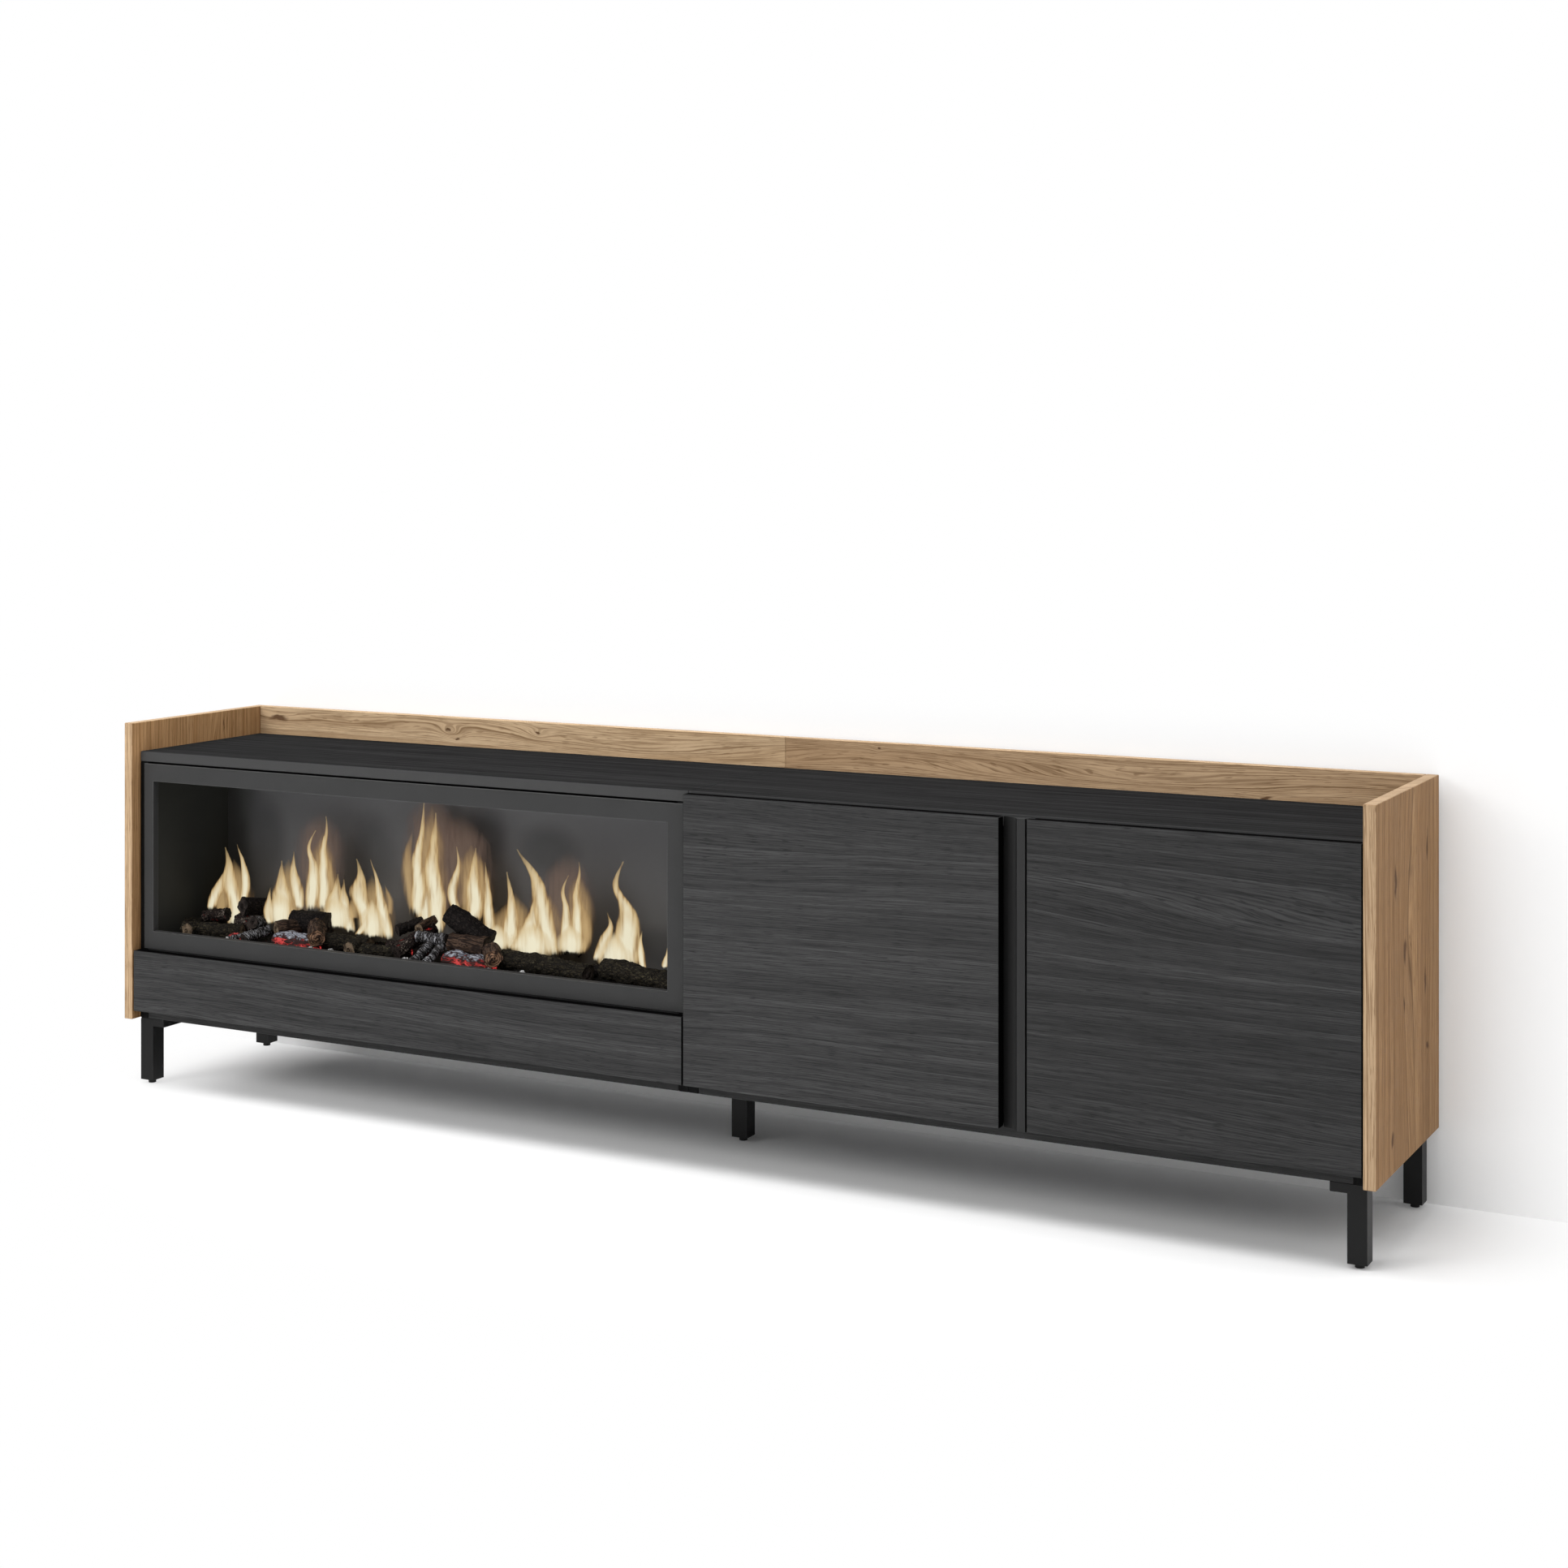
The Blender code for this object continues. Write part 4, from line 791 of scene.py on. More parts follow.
def plain_finish(name, tone, highlight_tone, gloss, pebble, lift, sheen=0.5, highlight_width=0.6, metal=0.0,
                 drawn=(1, 1, 1)):
    def recipe(tree):
        place = scaled(object_place(tree), drawn)
        skin = place_group(tree, spatter, Vector=place, Size=pebble * MM)
        shade = skin["Pebbles"] * 0.5 + skin["Clouds"] * 0.5
        body = mix_colour(shade, tone_of(tone, PEBBLE_DARK), tone_of(tone, PEBBLE_PALE))
        # painted highlight along the edges, in its own tone
        edge = place_group(tree, edge_light, Width=highlight_width * MM)["Mask"]
        return {
            "Base Color": mix_colour(edge, body, highlight_tone),
            "Roughness": rescale(skin["Clouds"], gloss - GLOSS_DRIFT, gloss + GLOSS_DRIFT),
            "Specular IOR Level": sheen,
            "Metallic": metal,
            "Relief": (skin["Pebbles"], lift * MM),
        }

    return new_material(name, recipe)


PLAIN = {  # name, tone, tone of the painted edge highlight, gloss, size and height of pebbles in mm, sheen, width of the painted edge highlight in mm, metal, how the pebbles are drawn out
    # width of worn edges in mm, metal, how the pebbles are drawn out
    "frame": ("frame_paint", grey(0.034), grey(0.17), 0.55, 0.9, 0.03, 0.14, 0.7),
    "housing": ("housing_paint", grey(0.034, 1.12), grey(0.04), 0.60, 0.8, 0.05, 0.12),
    "black_steel": ("black_powder_coat", grey(0.0048), grey(0.022), 0.42, 0.6, 0.06, 0.20),
    "pad": ("pad_plastic", grey(0.008), grey(0.016), 0.55, 0.7, 0.05, 0.2),
    "thin_back": (
        "thin_back_board", grey(0.075, 1.1), grey(0.10, 1.4), 0.70, 1.6, 0.06, 0.5, 0.6, 0.0,
        PRESSED_X),
    "drawer_board": ("drawer_board", grey(0.070), grey(0.10), 0.58, 1.2, 0.05),
    "nickel": (
        "nickel_plate", grey(0.58, 1.06), grey(0.72, 1.05), 0.26, 0.6, 0.02, 0.5, 0.6, 1.0,
        BRUSHED_X),
    "zinc": (
        "zinc_plate", grey(0.51, 0.96), grey(0.67), 0.34, 0.8, 0.03, 0.5, 0.6, 1.0, BRUSHED_Y),
    "mirror": ("mirror_strip", grey(0.78, 1.02), grey(0.85), 0.12, 0.8, 0.02, 0.5, 0.6, 1.0),
    "motor": ("motor_can", grey(0.46, 0.96), grey(0.61), 0.32, 0.6, 0.02, 0.5, 0.6, 1.0),
    "circuit": ("solder_mask", grey(0.70, 1.03), grey(0.78), 0.40, 0.6, 0.02),
    "gland": ("gland_nylon", grey(0.014), grey(0.03), 0.48, 0.6, 0.04),
}
finishes = {slot: plain_finish(*row) for slot, row in PLAIN.items()}
print(len(finishes), "plain finishes")

# %% [markdown]
# ## The flame screen
# Behind the fire hangs a grey diffusing screen. It is painted dark beside the chamber's left wall,
# as painted shade, and paler to the upper right, as painted light, and the light on it makes a few
# smoky shapes, which soft round masks paint.

# %% Screen
SCREEN_GREY, SCREEN_SHADE = (0.118, 0.118, 0.122), (0.0300, 0.0295, 0.0280)
SCREEN_SMOKY_SHADE, SCREEN_LIT = (0.080, 0.080, 0.083), (0.134, 0.134, 0.139)
SCREEN_Y, SCREEN_GLOSS, SCREEN_SHEEN = 0.04, 0.55, 0.2
LEFT_SHADE_EDGE, LEFT_SHADE_WAVE, LEFT_SHADE_WAVE_SIZE = (-0.935, -0.835), 0.04, 0.12
UPPER_LIGHT_EDGE, UPPER_LIGHT_SLANT, SMOKY_SHADE_EDGE = (0.25, 0.46), 0.12, (0.74, 0.985)
SMOKY_SHADES = (  # across, up, and how far it reaches each way
    (-0.665, 0.360, 0.038, 0.050),
    (-0.445, 0.405, 0.030, 0.040),
    (-0.330, 0.392, 0.045, 0.032),
    (-0.880, 0.370, 0.032, 0.050),
    (-0.120, 0.262, 0.064, 0.024),
)


def screen_recipe(tree):
    place = object_place(tree)
    across, _, up = axes(place)
    # painted shade beside the chamber's left wall
    left = soft_step(across + noise_of(place, LEFT_SHADE_WAVE_SIZE) * LEFT_SHADE_WAVE, *LEFT_SHADE_EDGE)
    body = mix_colour(left, SCREEN_SHADE, SCREEN_GREY)
    # painted light towards the upper right
    upper = soft_step(up + across * UPPER_LIGHT_SLANT, *UPPER_LIGHT_EDGE)
    body = mix_colour(upper * left, body, SCREEN_LIT)
    # painted smoky shapes in the light on the screen
    for x, z, wide, tall in SMOKY_SHADES:
        centre, reach = (x, SCREEN_Y, z), (wide, 1, tall)
        smoky_shade = place_group(tree, knot, Vector=place, Place=centre, Reach=reach)["Push"]
        body = mix_colour(soft_step(smoky_shade, *SMOKY_SHADE_EDGE), body, SCREEN_SMOKY_SHADE)
    return {
        "Base Color": body, "Roughness": SCREEN_GLOSS, "Specular IOR Level": SCREEN_SHEEN}


finishes["screen"] = new_material("screen_skin", screen_recipe)
print("screen with", len(SMOKY_SHADES), "smoky shapes")

# %% [markdown]
# ## Giving the CAD nodes their finishes
# The record names a material slot for every CAD node. The nodes of one slot share a finish, apart
# from the two woods, where grain direction and figure depend on the board.

# %% Assign
def finish_for(name, slot):
    if slot == "oak":
        return oaks[name]
    if slot != "black_wood":
        return finishes.get(slot)
    if name.startswith("top_"):
        return black_woods["top"]
    upright = "side" in name or name == "divider"
    return black_woods.get(name, black_woods["upright" if upright else "carcass"])


for part in frame["record"]["subparts"]:
    chosen = finish_for(part["node"], part["material_slot"])
    thing = frame["nodes"][part["node"]]
    if chosen:
        thing.data.materials.clear()
        thing.data.materials.append(chosen)

# %% [markdown]
# ## Burnt wood: bark, char, ash and glow
# The bed of the fire is moulded and painted to look burnt. Its colours all come from two things: a
# crackle, where dried wood splits into small cushions, and how far each cushion has burnt. One
# group gives the cracks, the ash that gathers on the cushions, and the glow between them.
# Every log stores its own lengthwise coordinates in its mesh, so that its grain lies along it.

# %% Burnt wood group
CRACK_DRIFT, CRACK_DRIFT_SIZE = 5 * MM, 7 * MM
CRACK_EDGE, CRACK_FULL, CUSHION = 0.14, 0.02, 0.25
CHAR_FIBRE, CHAR_STRETCH = 1.1 * MM, (0.16, 1, 1)
PATCH_SIZE, FLECK_SIZE, PATCH_WEIGHT, FLECK_WEIGHT = 14 * MM, 1.8 * MM, 0.45, 0.75
NO_ASH, NO_GLOW, ASH_EDGE, FIBRE_RELIEF = 1.02, 0.95, (-0.12, 0.10), 0.8
HOT_SIZE, HOT_IN_CRACKS, HOT_RANGE = 10 * MM, 0.14, 0.26


def burnt_recipe(group, taken):
    place = taken["Vector"]
    drift = scaled(noise_of(place, CRACK_DRIFT_SIZE, out="Color"), (CRACK_DRIFT,) * 3)
    inputs = {"Vector": vector_math("ADD", place, drift), "Scale": 1.0 / taken["Crack Size"]}
    edge = node(group, "TexVoronoi", inputs, "Distance", feature="DISTANCE_TO_EDGE")
    cracks = soft_step(edge, CRACK_EDGE, CRACK_FULL)
    fibres = noise_of(scaled(place, CHAR_STRETCH), CHAR_FIBRE, 3.0, 0.6)
    patch, fleck = noise_of(place, PATCH_SIZE, 3.0), noise_of(place, FLECK_SIZE, 3.0, 0.7)
    ash = patch * PATCH_WEIGHT + fleck * FLECK_WEIGHT - (NO_ASH - taken["Ash"])
    hot = noise_of(place, HOT_SIZE, 3.0) - (NO_GLOW - taken["Glow"])
    return {
        "Cracks": cracks,
        "Fibres": fibres,
        "Ash": soft_step(ash, *ASH_EDGE),
        "Glow": soft_step(hot + cracks * HOT_IN_CRACKS, 0.0, HOT_RANGE),
        "Height": fibres * FIBRE_RELIEF + soft_step(edge, 0.0, CUSHION),
    }


BURNT_INPUTS = {"Vector": None, "Crack Size": 6 * MM, "Ash": 0.2, "Glow": 0.0}
burnt = new_group("burnt", BURNT_INPUTS, burnt_recipe)

# %% [markdown]
# ## Burnt finishes
# Bark, char, ash and coal differ in their colours, in the size of their cracks and in how much ash
# and glow they show. What still glows shines by itself, so its heat goes to the shader's emission.
# A log's end shows its rings, which run round its own middle line.

# %% Burnt skins
COLD, EMBER_RED, EMBER_PINK = (0, 0, 0), (0.270, 0.014, 0.012), (0.560, 0.050, 0.048)
RED_HEAT, PINK_HEAT, CHAR_STREAKS = (0.25, 0.8), (0.80, 1.0), (0.36, 0.66)
CHARRED, CHAR_LIFT = {"Roughness": 0.85, "Specular IOR Level": 0.15}, 1.0 * MM
GRAIN = {
    "bark": (0.45, 1, 1), "char": (0.8, 1, 1), "hot_char": (0.8, 1, 1), "brown": (0.22, 1, 1),
    "ash": (1.9, 0.4, 0.4), "ember": (0.30, 1, 1), "coal": (1, 1, 1), "chip": (1, 1, 1),
}


def own_place(tree):
    return node(tree, "Attribute", out="Vector", attribute_name="own_place")


def burnt_marks(tree, kind, crack_size, ash, glow):
    place = scaled(own_place(tree), GRAIN[kind])
    values = {"Crack_Size": crack_size * MM, "Ash": ash, "Glow": glow}
    return place_group(tree, burnt, Vector=place, **values)


def glow_of(heat):
    """Light of its own: black where cold, then red, then pink."""
    light = mix_colour(soft_step(heat, *RED_HEAT), COLD, EMBER_RED)
    light = mix_colour(soft_step(heat, *PINK_HEAT), light, EMBER_PINK)
    return {"Emission Color": light, "Emission Strength": 1.0}


def burnt_finish(kind, skin, deep, ash_tone, crack_size, ash, glow=0.0):
    def recipe(tree):
        found = burnt_marks(tree, kind, crack_size, ash, glow)
        body = mix_colour(soft_step(found["Fibres"], *CHAR_STREAKS), deep, skin)
        body = mix_colour(found["Ash"], body, ash_tone)
        return {
            "Base Color": mix_colour(found["Cracks"], body, deep),
            "Relief": (found["Height"], CHAR_LIFT),
            **CHARRED,
            **(glow_of(found["Glow"]) if glow else {}),
        }

    return new_material("burnt_" + kind, recipe)


# %% Log ends
RING_EDGE, RING_WANDER, RING_WANDER_SIZE = (0.35, 0.95), 8 * MM, 9 * MM
STAIN_EDGE, STAIN_SIZE = (0.42, 0.66), 8 * MM
SPLINTER, SPLINTER_LIFT, END_GLOSS = 1.8 * MM, 0.6 * MM, 0.8


def end_grain(name, pale, dark, ring_width):
    """The sawn or broken end of a log, with rings round its own middle line."""
    def recipe(tree):
        place = own_place(tree)
        distance = length_of(scaled(place, (0, 1, 1)))
        wander = noise_of(place, RING_WANDER_SIZE, 3.0) * RING_WANDER
        ring = ((distance + wander) / (ring_width * MM)).math("FRACT")
        stain = soft_step(noise_of(place, STAIN_SIZE, 3.0), *STAIN_EDGE)
        body = mix_colour(stain, mix_colour(soft_step(ring, *RING_EDGE), pale, dark), dark)
        relief = (noise_of(place, SPLINTER, 3.0), SPLINTER_LIFT)
        return {"Base Color": body, "Relief": relief, **CHARRED, "Roughness": END_GLOSS}

    return new_material(name, recipe)


# %% Burnt finishes
BURNT = {  # skin, deep in cracks, ash, crack size in mm, share of ash, glow
    "bark": ((0.029, 0.023, 0.014), (0.004, 0.003, 0.002), (0.085, 0.074, 0.044), 4.5, 0.29),
    "char": ((0.022, 0.017, 0.015), (0.003, 0.002, 0.002), (0.16, 0.15, 0.15), 6.0, 0.16),
    "hot_char": ((0.030, 0.019, 0.016), (0.004, 0.002, 0.002), (0.34, 0.28, 0.23), 5.0, 0.30, 0.28),
    "brown": ((0.100, 0.062, 0.042), (0.014, 0.008, 0.006), (0.22, 0.17, 0.13), 9.0, 0.18),
    "ash": ((0.070, 0.064, 0.062), (0.005, 0.004, 0.004), (0.36, 0.36, 0.38), 6.5, 0.36, 0.16),
    "coal": ((0.014, 0.011, 0.009), (0.002, 0.002, 0.002), (0.07, 0.065, 0.06), 7.0, 0.12, 0.24),
    "chip": ((0.42, 0.41, 0.40), (0.12, 0.11, 0.10), (0.62, 0.62, 0.62), 4.0, 0.5),
}
ENDS = {  # pale ring, dark ring, ring width in mm
    "pale_end": ((0.180, 0.130, 0.085), (0.042, 0.029, 0.018), 1.9),
    "striped_end": ((0.230, 0.130, 0.078), (0.014, 0.008, 0.006), 3.4),
    "char_end": ((0.038, 0.028, 0.024), (0.008, 0.006, 0.005), 2.4),
}
burnt_finishes = {kind: burnt_finish(kind, *row) for kind, row in BURNT.items()}
burnt_finishes.update({name: end_grain(name, *row) for name, row in ENDS.items()})
print(len(burnt_finishes), "burnt finishes")

# %% [markdown]
# ## Embers
# An ember is a log in its last stage. Its upper side has gone to streaky blue-white ash, and its
# lower side, sheltered from the air, still glows. So height chooses between the two here.

# %% Ember finish
BED_TOP = 0.2353
ASH_FROM, ASH_FULL, ASH_RAGGED, ASH_RAGGED_SIZE = 14.5 * MM, 19 * MM, 22 * MM, 8 * MM
ASH_BLUE, ASH_WHITE = (0.090, 0.096, 0.120), (0.420, 0.440, 0.490)
EMBER_CRUST, ASH_STREAKS, EMBER_LIFT = (0.030, 0.014, 0.013), (0.40, 0.60), 0.8 * MM
EMBER_CRACKS, EMBER_ASH, EMBER_GLOW = 5.5, 0.4, 0.46


def ember_recipe(tree):
    found = burnt_marks(tree, "ember", EMBER_CRACKS, EMBER_ASH, EMBER_GLOW)
    ragged = noise_of(own_place(tree), ASH_RAGGED_SIZE, 3.0) * ASH_RAGGED
    level = BED_TOP + ASH_RAGGED / 2
    height = axes(object_place(tree))[2] + ragged
    ash_side = soft_step(height, level + ASH_FROM, level + ASH_FULL)
    ash = mix_colour(soft_step(found["Fibres"], *ASH_STREAKS), ASH_BLUE, ASH_WHITE)
    ash = mix_colour(found["Cracks"], ash, EMBER_CRUST)
    return {
        "Base Color": mix_colour(ash_side, EMBER_CRUST, ash),
        "Relief": (found["Height"], EMBER_LIFT),
        **CHARRED,
        **glow_of(found["Glow"] * (1.0 - ash_side)),
    }


burnt_finishes["ember"] = new_material("ember", ember_recipe)
print("ember finish")

# %% [markdown]
# ## Small helpers for meshes
# The pieces below are built from closed rows of corners, with bands of faces between them and a fan
# of triangles where a row closes on one tip. When a shape is done, one helper turns it into an
# object, gives it its materials and lets it ride on a body.

# %% Mesh helpers
def new_piece(name, shape, materials, body="stand", smooth=True):
    mesh = bpy.data.meshes.new(name)
    for face in shape.faces:
        face.smooth = smooth
    shape.to_mesh(mesh)
    shape.free()
    for material in materials:
        mesh.materials.append(material)
    made = bpy.data.objects.new(name, mesh)
    scene.collection.objects.link(made)
    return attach(made, body)


def add_face(shape, corners, material_index, flipped):
    shape.faces.new(corners[::-1] if flipped else corners).material_index = material_index


def add_bands(shape, rows, material_index=0, flipped=False):
    for first, second in zip(rows, rows[1:]):
        for i in range(len(first)):
            after = (i + 1) % len(first)
            corners = (first[i], second[i], second[after], first[after])
            add_face(shape, corners, material_index, flipped)


def add_fan(shape, row, tip, material_index=0, flipped=False):
    for i in range(len(row)):
        add_face(shape, (row[i], row[(i + 1) % len(row)], tip), material_index, flipped)


def own_layer(shape):
    return shape.verts.layers.float_vector.new("own_place")


def remember_place(shape):
    own = own_layer(shape)
    for vert in shape.verts:
        vert[own] = vert.co


def round_turns(count):
    return [2 * math.pi * i / count for i in range(count)]


print("mesh helpers are ready")

# %% [markdown]
# ## Logs
# A log is a tube of rings whose radius wanders. Slow noise gives the crooked outline, a few flats
# show where it was split, and the edges of Voronoi cells cut the cracks between cushions of char or
# the furrows between plates of bark. Real relief matters here, because light draws every furrow.
# An ember's ends taper, as what burns longest is the middle.

# %% Log shapes
CHAMBER_LEFT, CHAMBER_WIDTH = -0.9635, 0.9681
BED_FRONT, BED_BACK = -0.1315, 0.0215
LOG_SIDES, LOG_RINGS, END_RINGS = 48, 60, 4
SKINS = {  # furrow size and depth in mm, number of flats
    "bark": (6.0, 2.0, 0), "char": (8.5, 1.3, 4), "hot_char": (7.0, 1.5, 5),
    "brown": (11.0, 0.6, 5), "ash": (7.5, 1.6, 0), "ember": (7.0, 1.0, 0),
}
CROOKED, FLATNESS, FURROW_WIDTH = 0.24, 0.55, 0.22
SLOW_WANDER, QUICK_WANDER = 1.7, 0.6
SEED_STEPS, SEED_SHIFT = (0.37, 0.11, 0.23), 0.1
TAPER, LOG_SAG, SAG_PACE = 0.92, 0.12, 2.2
END_BULGE, END_ROUGH = 0.12, 0.14


def bed_place(*shares):
    """A place on the bed from shares of the chamber's width: across, back and up."""
    starts = (CHAMBER_LEFT, BED_FRONT, BED_TOP)
    return Vector([start + share * CHAMBER_WIDTH for start, share in zip(starts, shares)])


def furrow(point, size):
    """How deep in a crack this point lies, from 0 on a cushion to 1 between two."""
    distances, _ = noise.voronoi(point / size)
    return max(0.0, 1 - (distances[1] - distances[0]) / FURROW_WIDTH)


def flattened(turn, flats):
    """How far a polygon with this many flats stays inside its own circle in this direction."""
    if not flats:
        return 1.0
    part = 2 * math.pi / flats
    return math.cos(part / 2) / math.cos((turn % part) - part / 2)


def log_point(along, turn, length, radius, kind, seed):
    """A point of the log's skin before it is laid down, its axis along X."""
    furrow_size, furrow_depth, flats = SKINS[kind]
    place = Vector(((along - 0.5) * length, math.cos(turn) * radius, math.sin(turn) * radius))
    shifted = place + Vector([seed * step for step in SEED_STEPS])
    slow = noise.noise(shifted / (radius * SLOW_WANDER))
    quick = noise.noise(shifted / (radius * QUICK_WANDER))
    reach = radius * (1 + CROOKED * (slow + 0.5 * quick))
    reach *= 1 - FLATNESS * (1 - flattened(turn + seed, flats))
    drawn = Vector(a * b for a, b in zip(shifted, GRAIN[kind]))
    reach -= furrow_depth * MM * furrow(drawn, furrow_size * MM)
    if kind == "ember":
        reach *= math.sqrt(1 - TAPER * abs(2 * along - 1) ** 3)
    sag = LOG_SAG * radius * noise.noise(Vector((along * SAG_PACE, seed, 0)))
    return Vector((place.x, math.cos(turn) * reach + sag, math.sin(turn) * reach))


# %% A whole log
def log_piece(name, kind, end, centre, length, radius, turn, tilt, seed):
    shape = bmesh.new()
    own = own_layer(shape)
    lie = Euler((0, math.radians(tilt), math.radians(turn))).to_matrix()

    def corner(point):
        made = shape.verts.new(centre + lie @ point)
        made[own] = point + Vector((seed, 0, 0)) * SEED_SHIFT
        return made

    def skin(along):
        return [log_point(along, t, length, radius, kind, seed) for t in round_turns(LOG_SIDES)]

    rows = [[corner(point) for point in skin(ring / LOG_RINGS)] for ring in range(LOG_RINGS + 1)]
    add_bands(shape, rows, 0, True)
    for side, outer in ((0, rows[0]), (1, rows[-1])):
        outward = radius if side else -radius
        rim = skin(side)
        middle = sum(rim, Vector()) / LOG_SIDES
        loops = [outer]
        for step in range(1, END_RINGS):
            share = 1 - step / END_RINGS
            inner = [middle.lerp(point, share) for point in rim]
            for point in inner:
                rough = END_ROUGH * noise.noise(point / (radius * 0.5))
                point.x += outward * (END_BULGE * (1 - share) + rough)
            loops.append([corner(point) for point in inner])
        add_bands(shape, loops, 1, not side)
        tip = corner(middle + Vector((outward * END_BULGE, 0, 0)))
        add_fan(shape, loops[-1], tip, 1, not side)
    return new_piece(name, shape, [burnt_finishes[kind], burnt_finishes[end]])


# %% [markdown]
# ## Laying the fire
# Each log, stick and ember that shows in the photograph has a row. Its place on the bed, its length
# and its radius are in thousandths of the chamber's width, its turn and tilt in degrees. The row's
# number seeds the noise, so no two logs are alike and every run gives the same ones.

# %% Logs
LOGS = (  # name, skin, end, across, back, up, length, radius, turn, tilt
    ("log_front_left", "bark", "pale_end", 91, 35, 10, 108, 12.9, 10, 0),
    ("log_left_back", "bark", "char_end", 34, 70, 9, 50, 11.4, 40, 0),
    ("log_split_left", "hot_char", "char_end", 68, 70, 27, 48, 10.8, 5, -8),
    ("stack_left_low", "hot_char", "char_end", 138, 70, 20, 62, 15.0, -20, 0),
    ("stack_left_top", "char", "char_end", 138, 85, 46, 50, 14.5, 75, 8),
    ("ash_knob_left", "ash", "char_end", 166, 55, 26, 30, 10.3, 100, 10),
    ("ash_stick_left", "ash", "char_end", 184, 32, 12, 50, 8.3, 75, -12),
    ("ash_stick_low", "ash", "char_end", 160, 24, 8, 40, 6.2, 60, -10),
    ("split_block", "brown", "pale_end", 232, 55, 24, 43, 12.9, 60, 0),
    ("log_big_left", "char", "char_end", 256, 81, 29, 66, 22.0, 5, 0),
    ("log_striped_left", "brown", "striped_end", 301, 40, 24, 54, 15.5, -50, 8),
    ("embers_left", "ember", "ember", 270, 27, 4, 92, 18.0, 2, 6),
    ("embers_small", "ember", "ember", 150, 28, 0, 52, 12.0, -12, 0),
    ("log_front_middle", "bark", "pale_end", 355, 44, 12, 98, 12.9, 0, 0),
    ("log_front_middle_right", "bark", "char_end", 432, 28, 8, 93, 11.4, 8, 0),
    ("stack_stick_dark", "char", "char_end", 463, 70, 44, 45, 9.3, 60, -12),
    ("stack_stick_brown", "brown", "pale_end", 491, 76, 48, 48, 9.0, 95, -6),
    ("stack_stick_hot", "hot_char", "char_end", 488, 49, 28, 78, 12.4, 70, -22),
    ("ash_log", "ash", "char_end", 527, 40, 36, 54, 8.3, 5, 0),
    ("ash_prop_left", "ash", "char_end", 522, 24, 17, 52, 6.8, 78, -30),
    ("ash_prop_right", "ash", "char_end", 545, 25, 17, 52, 6.8, 84, -30),
    ("log_big_right", "char", "char_end", 578, 70, 52, 85, 18.5, 5, 26),
    ("log_brown_right", "brown", "char_end", 588, 52, 28, 62, 18.0, 8, 6),
    ("log_round_right", "brown", "striped_end", 652, 24, 24, 46, 14.5, -52, 4),
    ("embers_right", "ember", "ember", 606, 27, 4, 96, 18.0, 2, 7),
    ("log_long_right", "bark", "char_end", 745, 30, 14, 160, 16.0, -3, 3),
    ("log_back_right", "char", "char_end", 815, 60, 8, 80, 11.0, 2, 0),
    ("log_far_right", "bark", "char_end", 915, 26, 17, 130, 16.5, -3, 5),
    ("log_end_left", "bark", "pale_end", 58, 20, 11, 20, 12.5, 82, 0),
    ("log_end_middle", "bark", "pale_end", 394, 16, 11, 22, 13.0, 84, 0),
    ("coal_glow_left", "hot_char", "ember", 128, 48, 6, 30, 9.5, 20, 0),
    ("coal_glow_middle", "hot_char", "ember", 346, 70, 10, 45, 9.0, -4, 0),
    ("coal_glow_stack", "hot_char", "ember", 462, 44, 14, 40, 13.0, 30, 0),
    ("coal_glow_right", "hot_char", "ember", 668, 66, 10, 40, 8.5, 4, 0),
)
for seed, (name, kind, end, *place, length, radius, turn, tilt) in enumerate(LOGS, 1):
    centre = bed_place(*(value / 1000 for value in place))
    size = (length / 1000 * CHAMBER_WIDTH, radius / 1000 * CHAMBER_WIDTH)
    log_piece(name, kind, end, centre, *size, turn, tilt, seed)
print(len(LOGS), "logs, sticks and embers")

# %% [markdown]
# ## The coal bed and flakes of ash
# Under the logs lies a tray of broken coal, lumpy and almost black, which falls a little towards
# the back. It stands for the plain log bed of the CAD model. A few white flakes of ash have dropped
# at its front edge.

# %% Coal bed
BED_CELL = 4 * MM
LUMP_SIZE, LUMP_RISE, LUMP_STEEPNESS, LUMP_PATCH = 13 * MM, 7.5 * MM, 1.6, 0.03
LUMP_LEAST, BED_SINK, BED_RIM_SINK = 0.55, 2 * MM, 3 * MM
BED_BACK_FALL, FALL_FROM = 9 * MM, 0.6


def lump(point, size):
    """Rounded lumps: high in the middle of each Voronoi cell, low where cells meet."""
    distances, _ = noise.voronoi(point / size)
    return min(1.0, (distances[1] - distances[0]) * LUMP_STEEPNESS)


def bed_height(x, y, back_share):
    fall = BED_BACK_FALL * max(0.0, (back_share - FALL_FROM) / (1 - FALL_FROM))
    rise = LUMP_RISE * lump(Vector((x, y, BED_TOP)), LUMP_SIZE)
    rise *= LUMP_LEAST + noise.noise(Vector((x, y, 0)) / LUMP_PATCH)
    return BED_TOP - BED_SINK - fall + rise


